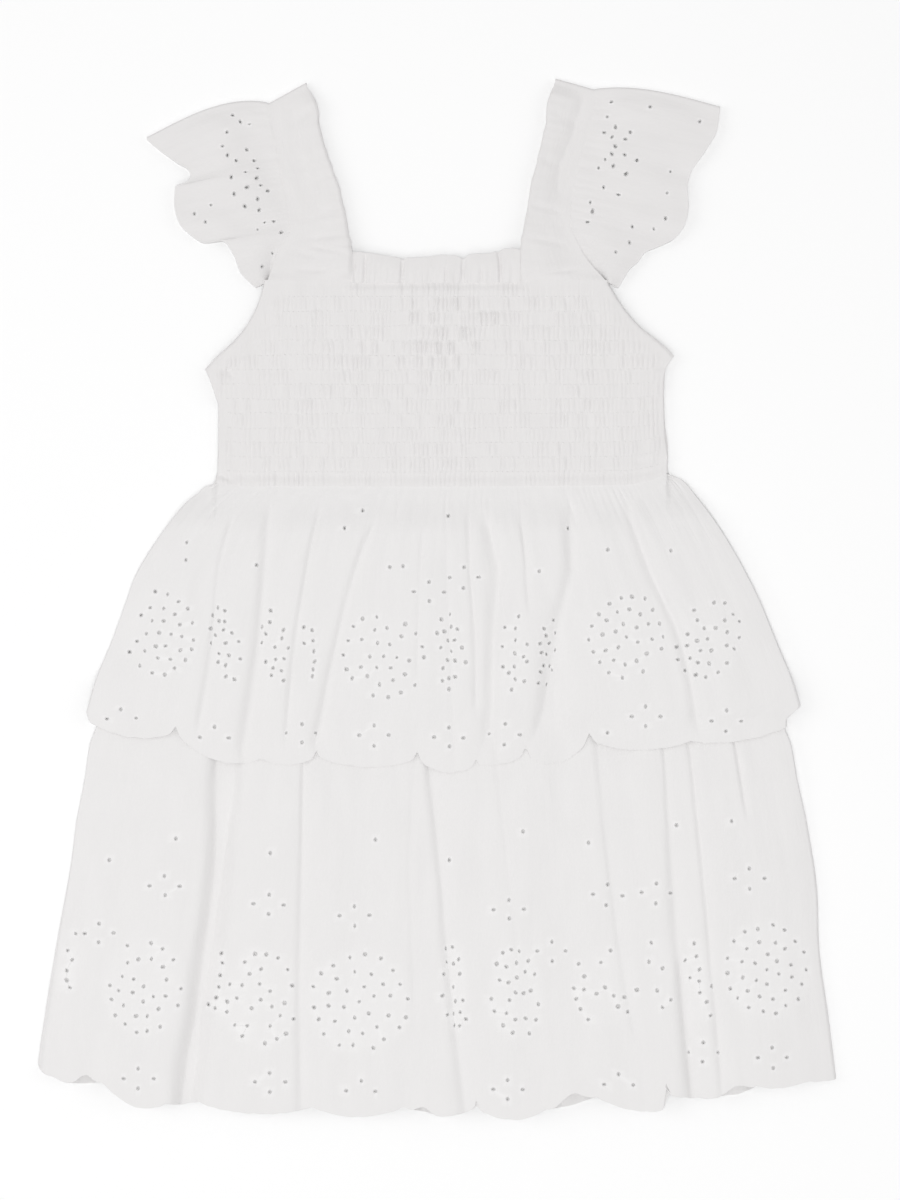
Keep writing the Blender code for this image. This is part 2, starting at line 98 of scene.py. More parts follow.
PUCKER_SIZE = (4.5, 6.0)  # and those of the soft puckers, and of the changes of tone
TONE_SIZE = (9.0, 24.0)
CRINKLE_BUMP = 0.12


def mix(start, end, share):
    """The value that lies the given share of the way from start to end."""
    return start + (end - start) * share


def ease(share):
    """A smooth step from 0 to 1."""
    share = np.clip(share, 0.0, 1.0)
    return share * share * (3.0 - 2.0 * share)


def bell(offset, half_width):
    """A smooth bump of height 1."""
    return np.exp(-(offset / half_width) ** 2)


def arches(turns):
    """A row of arches from 0 to 1, with a sharp crease between two of them at each whole number."""
    return np.abs(np.sin(math.pi * turns))


def rounded(from_side, width):
    """From 0 at an edge to 1 at the given width from it, along a quarter circle."""
    return np.sqrt(1.0 - (1.0 - np.clip(from_side / width, 0.0, 1.0)) ** 2)


def in_from_sides(x, left, right):
    """Distance from the nearer of two side edges, inside them."""
    return np.maximum(0.0, np.minimum(x - left, right - x))


def curve(table, at, column=1, corners=True):
    """A column of a table, read along a smooth curve through its rows at values of the first column.
    Where the column turns back the curve has a corner, or a rounded peak if corners is False."""
    rows = np.array(sorted(table))
    key = rows[:, 0]
    value = rows[:, column]
    slope = np.diff(value) / np.diff(key)
    before = slope[:-1]
    after = slope[1:]
    onward = before * after > 0.0
    mean = 2.0 * before * after / np.where(onward, before + after, 1.0)
    leaving = np.append(slope[0], np.where(onward, mean, after if corners else 0.0))
    reaching = np.append(np.where(onward, mean, before if corners else 0.0), slope[-1])
    at = np.clip(at, key[0], key[-1])
    stretch = np.clip(np.searchsorted(key, at, side="right") - 1, 0, len(slope) - 1)
    width = key[stretch + 1] - key[stretch]
    t = (at - key[stretch]) / width
    through = value[stretch] * (1.0 + 2.0 * t) * (1.0 - t) ** 2 + value[stretch + 1] * t * t * (3.0 - 2.0 * t)
    return through + width * t * (1.0 - t) * (leaving[stretch] * (1.0 - t) - reaching[stretch] * t)


def wander(x, y, seed):
    """Smooth random numbers from -1 to 1 over a plane, a new one at each whole step."""
    size = 64
    lattice = np.random.default_rng(seed).uniform(-1.0, 1.0, (size, size))
    column = np.floor(x).astype(int)
    row = np.floor(y).astype(int)
    along = ease(x - column)
    low, high = (mix(lattice[level % size, column % size], lattice[level % size, (column + 1) % size], along)
                 for level in (row, row + 1))
    return mix(low, high, ease(y - row))


def crease(x, y, creases):
    """Depth of short soft creases, each along a line from x, y to x, y, with a half width and a depth."""
    total = 0.0
    for start_x, start_y, end_x, end_y, half_width, depth in creases:
        run_x = end_x - start_x
        run_y = end_y - start_y
        length = math.hypot(run_x, run_y)
        along = ((x - start_x) * run_x + (y - start_y) * run_y) / length ** 2
        aside = ((x - start_x) * run_y - (y - start_y) * run_x) / length
        fade = ease((along + 0.25) / 0.45) * ease((1.25 - along) / 0.45)
        total = total + depth * fade * bell(aside, half_width)
    return total


class Wire:
    """An output socket in a material's node tree. Sums and products of wires add Math nodes."""

    def __init__(self, tree, socket=None):
        self.tree = tree
        self.socket = socket

    def node(self, kind, settings=None, sockets=None, out=0):
        """Adds a node with its settings, fills or links its sockets, and gives one of its outputs."""
        added = self.tree.nodes.new(kind)
        for name, value in (settings or {}).items():
            setattr(added, name, value)
        for name, value in (sockets or {}).items():
            if isinstance(value, Wire):
                self.tree.links.new(value.socket, added.inputs[name])
            else:
                added.inputs[name].default_value = value
        return Wire(self.tree, added.outputs[out] if added.outputs else None)

    def maths(self, operation, first, second=0.0):
        return self.node("ShaderNodeMath", {"operation": operation}, {0: first, 1: second})

    def __add__(self, other):
        return self.maths("ADD", self, other)

    def __sub__(self, other):
        return self.maths("SUBTRACT", self, other)

    def __rsub__(self, other):
        return self.maths("SUBTRACT", other, self)

    def __mul__(self, other):
        return self.maths("MULTIPLY", self, other)

    __radd__ = __add__
    __rmul__ = __mul__

    def sine(self):
        return self.maths("SINE", self)

    def along(self, axis):
        """One component of this vector."""
        return self.node("ShaderNodeSeparateXYZ", sockets={0: self}, out=axis)

    def noise(self, size, detail=2.0):
        """Cloudy noise from 0 to 1, its steps stretched to a width across and a length along the cloth."""
        scale = (1.0 / size[0], 1.0 / size[1], 1.0)
        place = self.node("ShaderNodeVectorMath", {"operation": "MULTIPLY"}, {0: self, 1: scale})
        return self.node("ShaderNodeTexNoise", {"noise_dimensions": "2D"},
                         {"Vector": place, "Scale": 1.0, "Detail": detail})

    def blend(self, start, end):
        """The colour that this value picks between two others."""
        return self.node("ShaderNodeMix", {"data_type": "RGBA"}, {"Factor": self, "A": start, "B": end},
                         out="Result")

    def surface(self, **sockets):
        """Ends a material in a Principled shader with the given sockets."""
        named = {name.replace("_", " "): value for name, value in sockets.items()}
        shader = self.node("ShaderNodeBsdfPrincipled", sockets=named)
        self.node("ShaderNodeOutputMaterial", sockets={"Surface": shader})


def new_material(name):
    """An empty material, and a wire that adds nodes to its tree."""
    material = bpy.data.materials.new(name)
    material.use_nodes = True
    material.node_tree.nodes.clear()
    return material, Wire(material.node_tree)


def relief(height, strength=1.0):
    """The normal of a surface with this height, in millimetres."""
    return height.node("ShaderNodeBump", sockets={"Strength": strength, "Distance": MM, "Height": height})


def cotton(name, crinkle=CRINKLE_BUMP, white=COTTON_WHITE, shade=COTTON_SHADE):
    """Matt white crinkled cotton in a plain weave. Each point's place on the cloth is its attribute "cloth",
    in millimetres, and "stitched" says how much of it is covered by embroidery thread."""
    material, wire = new_material(name)
    place = wire.node("ShaderNodeAttribute", {"attribute_name": "cloth"}, out="Vector")
    stitched = wire.node("ShaderNodeAttribute", {"attribute_name": "stitched"}, out="Fac")
    streaks = place.noise(CRINKLE_SIZE)
    threads_up, threads_across = ((place.along(axis) * (math.pi / WEAVE_PITCH)).sine() for axis in "XY")
    height = streaks * crinkle + place.noise(PUCKER_SIZE) * (crinkle * 0.6)
    height = height + threads_up * threads_across * WEAVE_BUMP
    dyed = place.noise(TONE_SIZE, 3.0).blend(shade, white)
    wire.surface(Base_Color=stitched.blend(dyed, THREAD_WHITE), Normal=relief(height),
                 Roughness=COTTON_ROUGHNESS - 0.18 * stitched + 0.08 * streaks,
                 Sheen_Weight=0.12, Sheen_Roughness=0.5, Specular_IOR_Level=0.3)
    return material


def new_object(name, data, location=(0.0, 0.0, 0.0)):
    """An object with the given data in the scene."""
    added = bpy.data.objects.new(name, data)
    added.location = location
    bpy.context.scene.collection.objects.link(added)
    return added


def add_piece(name, mesh, material):
    """A finished piece, riding on the dress."""
    mesh.materials.append(material)
    piece = new_object(name, mesh)
    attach(piece, "root")
    return piece


def smooth_mesh(name, bm):
    """A mesh that is shaded smooth but for its cut edges."""
    for face in bm.faces:
        face.smooth = True
    for edge in bm.edges:
        edge.smooth = not edge.is_boundary
    mesh = bpy.data.meshes.new(name)
    bm.to_mesh(mesh)
    bm.free()
    return mesh


def on_oval(half_width, half_height, angle, turn):
    """Point of a turned oval at an angle round it, from its middle."""
    off_x = half_width * np.cos(angle)
    off_y = half_height * np.sin(angle)
    return off_x * math.cos(turn) - off_y * math.sin(turn), off_x * math.sin(turn) + off_y * math.cos(turn)


def eyelet_ring(grid, points, used, stitched, hole, rims):
    """Fits the ring of grid points round one eyelet to its oval. Gives the points inside it."""
    centre_x, centre_y, half_width, half_height, turn = hole
    plan = points[grid][:, :, :2]
    row, column = np.unravel_index(np.argmin(((plan - (centre_x, centre_y)) ** 2).sum(axis=2)), grid.shape)
    if not (4 <= row < grid.shape[0] - 4 and 4 <= column < grid.shape[1] - 4):
        return []
    step_across = (plan[row, column + 1] - plan[row, column - 1]) / 2.0
    step_up = (plan[row + 1, column] - plan[row - 1, column]) / 2.0
    cell_x = np.linalg.norm(step_across)
    cell_y = np.linalg.norm(step_up)
    across = max(1, min(3, round(half_width / cell_x)))
    up = max(1, min(3, round(half_height / cell_y)))

    def window(margin):
        """The grid's points round the hole, out to a margin."""
        first_row = max(0, row - up - margin)
        first_column = max(0, column - across - margin)
        return grid[first_row:row + up + margin + 1, first_column:column + across + margin + 1]

    def rim_of(block):
        """Which of a block's points lie on its border."""
        border = np.ones(block.shape, bool)
        border[1:-1, 1:-1] = False
        return border

    def in_oval(place):
        """Distance from the oval's middle, as a share of the way to its edge."""
        off_x = place[..., 0] - centre_x
        off_y = place[..., 1] - centre_y
        return np.hypot((off_x * math.cos(turn) + off_y * math.sin(turn)) / half_width,
                        (off_y * math.cos(turn) - off_x * math.sin(turn)) / half_height)

    block = window(0)
    if used[block].any():
        return []
    outside = window(1)
    room = in_oval(points[outside[rim_of(outside)]][:, :2]).min() / 1.16
    if room < 0.6:
        return []
    half_width, half_height = (half * min(1.0, room) for half in (half_width, half_height))
    around = points[block.ravel()]
    sides = np.column_stack((np.ones(len(around)), around[:, 0] - centre_x, around[:, 1] - centre_y))
    level, slope_x, slope_y = np.linalg.lstsq(sides, around[:, 2], rcond=None)[0]
    ring = rim_of(block)
    steps_up, steps_across = np.mgrid[-up:up + 1, -across:across + 1][:, ring, None]
    toward = steps_across / across * step_across / cell_x + steps_up / up * step_up / cell_y
    angle = np.arctan2(toward[:, 1], toward[:, 0]) - turn
    place_x, place_y = on_oval(half_width, half_height, angle, turn)
    height = level + slope_x * place_x + slope_y * place_y
    points[block[ring]] = np.column_stack((centre_x + place_x, centre_y + place_y, height))
    used[block] = True
    beside = window(3)
    stitched[beside] = np.maximum(stitched[beside], ease((1.9 - in_oval(points[beside])) / 0.6))
    rims.append((centre_x, centre_y, level, slope_x, slope_y, half_width, half_height, turn))
    return list(block[~ring]) or [grid[row, column]]


def sheet_of_cloth(name, node, columns, rows, place, material, thickness=CLOTH, flipped=False,
                   holes=(), pierced=1.0, embroidery=None):
    """A sheet of cloth that replaces a node: a grid whose points are put in place by a function of the shares
    across and along, which gives x, y, z and the place on the flat cloth. A grid that would face down is
    flipped. Holes go in the first rows, up to the share pierced. Gives the piece and its eyelets' rims."""
    bm = bmesh.new()
    bmesh.ops.create_grid(bm, x_segments=columns, y_segments=rows, size=1.0)
    across, along = (np.array([vert.co[:2] for vert in bm.verts]).T + 1.0) / 2.0
    x, y, z, cloth_x, cloth_y = place(1.0 - across if flipped else across, along)
    points = np.column_stack((x, y, z))
    grid = np.lexsort((np.rint(across * columns), np.rint(along * rows))).reshape(rows + 1, columns + 1)
    stitched = embroidery(x, y) if embroidery else np.zeros(len(points))
    used = np.zeros(len(points), bool)
    rims = []
    inside = []
    for hole in holes:
        inside.extend(eyelet_ring(grid[:int(rows * pierced)], points, used, stitched, hole, rims))
    cloth_layer = bm.verts.layers.float_vector.new("cloth")
    stitched_layer = bm.verts.layers.float.new("stitched")
    for vert, point, cloth_point, cover in zip(bm.verts, points * MM, zip(cloth_x, cloth_y), stitched):
        vert.co = point
        vert[cloth_layer] = (*cloth_point, 0.0)
        vert[stitched_layer] = cover
    bm.verts.ensure_lookup_table()
    bmesh.ops.delete(bm, geom=[bm.verts[index] for index in inside], context="VERTS")
    bmesh.ops.remove_doubles(bm, verts=bm.verts, dist=0.01 * MM)
    piece = add_piece(name, smooth_mesh(name, bm), material)
    wall = piece.modifiers.new("wall", "SOLIDIFY")
    wall.thickness = thickness * MM
    wall.offset = -1.0
    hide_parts(node)
    return piece, rims


def shirring(x, y, band):
    """Height, from 0 to 1, of the puffs between the rows of elastic, which band counts up from the waist."""
    number = np.floor(band)
    between = 0.25 + 0.75 * np.sin(math.pi * (band - number)) ** 0.7
    drift = 1.3 * wander(x / 21.0, band * 0.06, 5) + PUFF_DRIFT * wander(x / 14.0, number * 1.7 + 0.5, 6)
    drift = drift + 0.4 * wander(x / 4.3, band * 0.45, 7)
    fullness = 0.5 + 0.6 * wander(x / 3.1, number * 1.3 + 0.5, 8) + 0.3 * wander(x / 23.0, y / 17.0, 9)
    return between * arches(x / PUFF_PITCH + drift) ** 0.8 * np.clip(fullness, 0.06, 1.3)


def bodice_sides(y):
    return curve(BODICE_LEFT, y), curve(BODICE_RIGHT, y)


def bodice_plan(across, along, inset=0.0):
    """Where a point of the bodice lies in plan. Its columns stand upright, and outside the armholes and
    sides they end on the outline."""
    level = mix(WAIST_MIDDLE, BODICE_TOP, along)
    left, right = bodice_sides(level)
    x = np.clip(mix(*BODICE_SPAN, across), left + inset, right - inset)
    y = level + (curve(WAIST, x) - WAIST_MIDDLE) * (1.0 - along) ** 2 + SEAM / 2.0 * (1.0 - along)
    return x, y - inset * along


def bodice_share(x):
    """The share across the bodice at x."""
    return (x - BODICE_SPAN[0]) / (BODICE_SPAN[1] - BODICE_SPAN[0])


def beside_armhole(y):
    """How far y is up from the side seam to the armhole, and how wide the cloth beside it is smooth."""
    at_armhole = ease((y - ARMHOLE_FROM) / ARMHOLE_BLEND)
    return at_armhole, mix(SMOOTH_SIDE / 3.0, SMOOTH_SIDE, at_armhole)


def bodice_front_place(across, along):
    x, y = bodice_plan(across, along)
    from_side = in_from_sides(x, *bodice_sides(y))
    at_armhole, smooth_width = beside_armhole(y)
    under_strap = ease((np.abs(x) - STRAP_FOOT_FROM) / 8.0)
    shirred = ease(from_side / smooth_width) * (1.0 - under_strap * ease((y - BODICE_TOP + 12.0) / 12.0))
    middle_x, middle_y, reach_x, reach_y = FULL_PUFFS
    fuller = 1.0 + 1.7 * np.exp(-((x - middle_x) / reach_x) ** 2 - ((y - middle_y) / reach_y) ** 2)
    puffs = PUFF_RISE * shirred * fuller * shirring(x, y, along * ELASTIC_ROWS)
    top = BODICE_ELASTIC + BODICE_CROWN * (1.0 - np.abs(x / BODICE_SPAN[1]) ** 6)
    smooth = 0.25 * wander(x / 9.0, y / 13.0, 11) * (1.0 - shirred) + 0.3 * wander(x / 31.0, y / 23.0, 13)
    # A first and a last row of elastic draw the cloth in along the waist and under the frill.
    drawn_in = 0.8 * ease((along - 0.965) / 0.02) * (1.0 - under_strap) + 0.6 * bell(along - 0.05, 0.02)
    top = top + puffs + smooth - crease(x, y, BODICE_CREASES) - drawn_in
    edge = mix(SIDE_SEAM_HEIGHT, ARMHOLE_HEIGHT, at_armhole)
    sway = 0.5 * wander(x / 8.0, along * ELASTIC_ROWS * 0.8, 12) * shirred * np.sin(math.pi * along)
    turned_in = ease((along - 0.989) / 0.011)
    return x, y + sway + turned_in, mix(edge, top, rounded(from_side, SIDE_ROUND)), x * LET_OUT, y


plain_cotton = cotton("plain_cotton")
bodice_front, _ = sheet_of_cloth("shirred_bodice_front", "bodice_front", 520, 84,
                                 bodice_front_place, plain_cotton)


# ---- Back of the bodice ----
# The same shirred cotton, hidden under the front. Its outer side lies on the surface, which presses the
# crowns of its puffs flat.

BACK_INSET = 0.8  # how far the hidden backs stay inside the fronts' outlines
PRESSED = 0.55  # share of a puff's height that the surface leaves
BACK_RELIEF = 0.9  # height of the hollows between them


def bodice_back_place(across, along):
    x, y = bodice_plan(across, along, BACK_INSET)
    hollow = 1.0 - np.clip(shirring(-x, y, along * ELASTIC_ROWS) / PRESSED, 0.0, 1.0)
    edge = ease(in_from_sides(x, *bodice_sides(y)) / SMOOTH_SIDE)
    return x, y, CLOTH + BACK_RELIEF * hollow * edge, x * LET_OUT, y


bodice_back, _ = sheet_of_cloth("shirred_bodice_back", "bodice_back", 240, 56,
                                bodice_back_place, plain_cotton)


# ---- Neck frill ----
# The bodice cloth runs on past its top row of elastic and is turned over and down, so that a narrow double
# frill stands up along the neck. The elastic gathers its foot, and a few creases run up to its edge.

FRILL_CLOTH = 0.9  # thickness of the doubled cloth
FRILL_FOOT = 3.3  # height of the front frill's foot over the surface
FRILL_RISE = 1.1  # height of its waves
FRILL_SPAN = (-41.6, 40.6)
# Its edge: x, y
FRILL_EDGE = (
    (-42, 168.8), (-38, 169.4), (-33, 168.8), (-25, 167.4), (-18, 166.3), (-16, 166.3), (-6, 166.6),
    (2, 167.7), (8, 167.6), (12.6, 166.3), (17, 168.2), (24, 168.4), (29.5, 169.6), (32, 170.5), (37, 171),
    (41, 170.4))
# Creases of the frill: x at its foot, x at its edge, half width, depth, share of its height that they reach
FRILL_CREASES = (
    (-40, -40.6, 0.8, 0.7, 0.7), (-35.4, -35, 0.75, 1, 0.95), (-28.5, -28.9, 1, 0.3, 0.6),
    (-22.5, -22.2, 0.9, 0.35, 0.5), (-17.2, -16.6, 0.65, 1.5, 1.1), (-10.2, -9.9, 1, 0.25, 0.5),
    (-3, -3.3, 0.9, 0.3, 0.5), (4.3, 4.5, 0.6, 0.9, 0.6), (9.2, 8.6, 0.8, 0.5, 0.5),
    (12.4, 13.2, 0.75, 1.5, 1.1), (21.9, 21.6, 0.65, 0.9, 0.55), (25.8, 26, 0.8, 0.5, 0.5),
    (31.6, 30.2, 0.7, 1.4, 1.1), (37.2, 37.8, 0.9, 0.4, 0.6))


def frill_place(foot, rise, inset, seed):
    """The place of a frill's points, for a height of its foot and a rise of its waves."""
    def place(across, along):
        x = mix(*FRILL_SPAN, across)
        depth = 0.0
        notch = 0.0
        for foot_x, edge_x, half_width, deep, reach in FRILL_CREASES:
            aside = (x - mix(foot_x, edge_x, along)) / half_width
            depth = depth + deep * ease((reach + 0.1 - along) / 0.3) * np.exp(-np.abs(aside) ** 1.6)
            notch = notch + 0.5 * deep * ease((reach - 0.8) / 0.3) * bell(aside, 1.6)
        gathers = 0.35 * arches(x / 3.1 + wander(x / 9.0, along, seed)) * (1.0 - along) ** 1.5
        swell = rise * (0.25 + 0.75 * np.sin(math.pi * np.clip(along * 0.85 + 0.05, 0.0, 1.0)))
        swell = swell + 0.3 * rise * wander(x / 7.0, along * 1.5, seed + 1)
        z = foot + np.maximum(0.0, swell + gathers - depth * (rise / FRILL_RISE))
        y = mix(BODICE_TOP - 0.4, curve(FRILL_EDGE, x) - inset - notch, along)
        return x, y, z + 0.3, x * 1.7, y
    return place


frill_cotton = cotton("frill_cotton", crinkle=0.14)
for side, beneath, *form in (("front", "bodice_front", FRILL_FOOT, FRILL_RISE, 0.0, 31),
                             ("back", "floor", FRILL_CLOTH, 0.0, 1.5, 33)):
    frill, _ = sheet_of_cloth("neck_frill_turned_" + side, "neck_frill_" + side, 230, 18,
                              frill_place(*form), frill_cotton, FRILL_CLOTH)


# ---- Shoulder straps ----
# Broad bands of plain cotton that run over the shoulder from the front neck line to the back one. Elastic
# in a casing along the neck side draws that edge into soft cross puckers.

WALL = 1.3  # thickness that the solids give one layer of cloth
LAYER = WALL + SEAM
BODICE_BACK_WALL = 2.0  # and the bodice's shirred back
# From the bodice to the shoulder fold: share of the way, inner x, inner y, outer x, outer y
STRAP_LEFT = (
    (0, -41.5, 154.8, -83, 154.8), (0.14, -41.5, 170.5, -78.5, 167), (0.29, -43.5, 181.5, -71.5, 179.5),
    (0.47, -47, 197.5, -73.5, 195), (0.69, -54, 218.5, -77.5, 214.5), (0.82, -57, 229.5, -79.5, 225.5),
    (0.91, -58.5, 241, -81.5, 234), (1, -64, 250.8, -83, 240.3))
STRAP_RIGHT = (
    (0, 40.5, 154.8, 83, 154.8), (0.14, 40.5, 170.5, 72.5, 167), (0.29, 43, 185, 65, 181.5),
    (0.45, 45.5, 200, 66, 197), (0.66, 50.5, 220.5, 70.5, 217), (0.77, 53, 232, 73.5, 227),
    (0.87, 54, 242, 76, 236), (1, 58, 252.8, 78, 247.2))
STRAP_CLOTH = 0.6
STRAP_LOFT = 2.1  # how far the casing stands over the strap's outer edge
CASING_FALLS = {"left": 0.45, "right": 0.85}  # share of the width over which it comes down
STRAP_LENGTH = 100.0  # of its front half
PUCKER_PITCH = 5.2  # width and height of the casing's cross puckers
PUCKER_RISE = 0.45
FRONT_SHARE = 0.68  # share of a strip's rows on its front half, and to the end of its shoulder fold
FOLD_SHARE = 0.76
# Creases at the straps' feet and along their casings: from x, y to x, y, half width, depth
STRAP_CREASES = {
    "left": (
        (-72, 170, -61, 167.5, 1, 1), (-67, 160.8, -54.5, 160.6, 0.9, 0.8),
        (-60, 172, -45, 168.5, 1.1, 0.6), (-70, 211, -57, 215, 3, 0.5), (-66, 187, -48, 190, 2.4, 0.6),
        (-63, 176, -47, 177.5, 1.4, 0.5), (-73, 232, -62, 238, 2.6, 0.6), (-52, 207, -62, 203, 1.6, 0.4)),
    "right": (
        (75, 248, 60, 200, 4.5, 1.3), (40, 157.5, 66, 160.5, 1, 0.9), (47, 192, 60, 189, 1.6, 0.5),
        (46, 176, 62, 173, 1.6, 0.5), (52, 214, 62, 211, 2, 0.4), (58, 236, 68, 233, 2, 0.4)),
}


def over_shoulder(across, along, plan, top):
    """Points of a strip that runs up the front, over the shoulder and down the back. plan gives x and y,
    and top the front's height, for the shares across and along the front half."""
    outer_reach = (LAYER + WALL) / 2.0
    share = np.where(along < FRONT_SHARE, along / FRONT_SHARE, 1.0)
    share = np.where(along > FOLD_SHARE, 1.0 - (along - FOLD_SHARE) / (1.0 - FOLD_SHARE), share)
    turn = math.pi * np.clip((along - FRONT_SHARE) / (FOLD_SHARE - FRONT_SHARE), 0.0, 1.0)
    x, y = plan(across, share)
    z = outer_reach * (1.0 + np.cos(turn)) + np.where(along < FRONT_SHARE, top(across, share, x, y), 0.0)
    return x, y + outer_reach * np.sin(turn), np.where(along > FOLD_SHARE, 0.0, z), share


def strap_place(side, table, seed):
    """The place of a strap's points. across runs from its inner edge to its outer one."""
    def plan(across, share):
        x = mix(curve(table, share, 1), curve(table, share, 3), across)
        return x, mix(curve(table, share, 2), curve(table, share, 4), across)

    def top(across, share, x, y):
        drift = 1.5 * wander(share * 6.0, across * 0.4, seed)
        pucker = arches(share * STRAP_LENGTH / PUCKER_PITCH + drift) ** 0.9
        strength = np.clip(0.65 + 0.5 * wander(share * 13.0, across + 0.5, seed + 1), 0.1, 1.2)
        base = (BODICE_BACK_WALL - WALL) * (1.0 - ease(share / 0.3))
        falls = 1.0 - ease((across - 0.1) / CASING_FALLS[side])
        casing = STRAP_LOFT * ease(across / 0.1 + 0.45) * falls - 0.3 * across
        ripple = PUCKER_RISE * pucker * strength * (1.0 - across) ** 1.3
        soft = 0.5 * wander(x / 9.0, y / 12.0, seed + 2)
        raised = casing + ripple + soft - crease(x, y, STRAP_CREASES[side])
        own = base + ease((1.0 - share) / 0.08) * np.maximum(-0.4, raised)
        foot = bodice_front_place(bodice_share(x), np.full_like(x, 0.99))[2] - 0.12 - (LAYER + WALL)
        return mix(foot, own, ease(share / 0.05))

    def place(across, along):
        x, y, z, share = over_shoulder(across, along, plan, top)
        edge_pull = 0.45 * wander(share * 26.0, 0.5, seed + 3) * (1.0 - across) ** 3
        sway = edge_pull * ease((1.0 - share) / 0.1) * ease(share / 0.1)
        return x + (sway if side == "left" else -sway), y, z, across * 40.0, share * STRAP_LENGTH * 1.3
    return place


for side, table, seed in (("left", STRAP_LEFT, 41), ("right", STRAP_RIGHT, 45)):
    strap, _ = sheet_of_cloth("cotton_strap_" + side, "strap_" + side, 56, 150,
                              strap_place(side, table, seed), plain_cotton, STRAP_CLOTH, side == "left")


# ---- Flutter sleeves ----
# Gathered frills of eyelet cotton, set into the straps' outer edges from the front underarm over the
# shoulder to the back. Their free edges are cut in scallops and bound in satin stitch.

# Along the free edge: share of the strap's length, edge x, edge y, rise of the ruffle
FLUTTER_LEFT = (
    (0.02, -88.5, 151.5, -0.4), (0.13, -96, 159, 0.6), (0.2, -99.5, 167.5, 0.4), (0.28, -105.5, 174.5, 2.6),
    (0.33, -113.5, 173.5, 3.4), (0.4, -121, 177.5, 1.6), (0.48, -126.5, 183.5, 3.4),
    (0.57, -128.6, 193, 2.2), (0.64, -128, 200.6, 3.4), (0.68, -123.3, 202.6, 2.6),
    (0.725, -120.6, 206, 1.2), (0.77, -122.2, 209.6, 2), (0.82, -126.5, 212, 2.6),
    (0.9, -133.5, 216.8, 1.4), (1, -142, 223.8, 0))
FLUTTER_RIGHT = (
    (0.02, 88.5, 151.5, -0.4), (0.1, 94, 160.5, 0.6), (0.17, 98.5, 164.5, 0.4), (0.23, 102, 169, 1.8),
    (0.3, 108, 171.5, 3.2), (0.38, 116, 175.5, 1.2), (0.46, 121.5, 183, 3.4), (0.54, 123, 191.5, 2),
    (0.62, 122.5, 200, 3.8), (0.7, 124, 207, 1.4), (0.8, 131.5, 218.5, 3), (0.9, 137, 228.5, 1.6),
    (1, 138.5, 238.8, 0))
FLUTTER_CREST = {"left": 6.0, "right": 3.5}  # how far the shoulder fold bows up between seam and tip
FLUTTER_SAG = 0.6  # how far the cloth dips just off the seam
FLUTTER_TUCK = {"left": 1.0, "right": -1.0}  # how far its gathered edge goes in under the strap, along x
# Eyelets of the sleeves' embroidered balls, as far as the gathers let them show, and of the small motifs near
# the scallops: x, y, share of the common size, turn in degrees
FLUTTER_EYELETS = {
    "left": (
        (-100, 236, 0.8, 90), (-96.2, 232.8, 0.9, 10), (-102.7, 227.6, 0.7, 0), (-91.8, 231.8, 0.4, 90),
        (-93.1, 219.2, 0.9, 60), (-102.4, 216.4, 0.9, 0), (-98.2, 213.8, 0.9, 20), (-89.5, 213.9, 1, 35),
        (-87.7, 210, 0.6, 90), (-93.6, 208.2, 0.6, 90), (-88.2, 205.3, 1.1, -50), (-100.5, 205.6, 0.9, -10),
        (-92.9, 200.7, 1.1, -70), (-86.2, 201.7, 0.7, 80), (-82.8, 199.1, 1.1, 90), (-99.2, 197.5, 1, 0),
        (-87.7, 195, 1, 0), (-93.9, 191.4, 1, 35), (-87, 189.6, 0.9, -30), (-79.9, 184.3, 0.8, 60),
        (-84.3, 183.6, 0.5, 0), (-76.2, 178.6, 1, -60), (-74.7, 171.5, 0.7, 0), (-80.5, 168.6, 0.8, 50),
        (-85.6, 162, 0.8, -20), (-118.6, 187.9, 0.8, 0), (-110.5, 192.1, 0.5, 0), (-113.2, 183.8, 0.6, 20),
        (-104.9, 220.8, 0.5, 90), (-87.7, 180, 0.4, 0)),
    "right": (
        (92.4, 246.7, 0.9, 0), (100.9, 245.7, 0.6, 90), (85.3, 242.5, 0.8, -60), (104.2, 240.1, 0.8, 90),
        (83.3, 235.4, 0.5, 90), (87.4, 230.3, 1.2, 0), (81.8, 227.7, 0.8, 90), (94.6, 227.8, 1, 5),
        (85.6, 225.4, 0.8, -50), (92.1, 224.4, 1, 85), (87.2, 220.8, 1.1, 50), (85.5, 217.1, 1, 45),
        (91.8, 216.6, 0.8, 60), (97.8, 213.9, 1.1, -15), (82.3, 214.6, 0.7, 0), (86.2, 211.2, 1, -30),
        (79.1, 210.4, 0.9, 0), (92.4, 207.3, 1.2, -35), (81.5, 200.8, 0.7, 0), (88.7, 197.2, 0.9, 80),
        (75, 193.5, 0.6, 0), (76.1, 189.1, 1.3, 0), (73.7, 183.9, 1, -70), (95.5, 181.5, 0.8, 0),
        (111.7, 185.5, 0.9, 0), (94.1, 173.7, 0.8, 10), (114.2, 208.5, 0.6, 0), (128.6, 233, 0.8, -40),
        (106, 180.3, 0.5, 0), (87.4, 169, 0.5, 0), (112.5, 198, 0.5, 0)),
}
EYELET_HALF = 0.85  # half width of a common eyelet's hole
RINGS = ((0.0, 1), (0.33, 6), (0.64, 12), (0.96, 18))  # a ball's rings: share of its size, eyelets
DIAMOND_REACH = (7.2, 4.8)  # how far a lozenge's eyelets lie from its middle
CORD_RADIUS = 0.4  # satin-stitched edge: half its width
CORD_FLAT = 0.55  # its height, as a share of its width
CORD_STEPS = 460  # faces along it and round it
CORD_SIDES = 8
RIM_THREAD = 0.26  # half thickness of an eyelet's rim
RIM_OUT = 0.25  # how far its middle lies outside the hole
RIM_SIDES = 10
SATIN_PITCH = 0.55


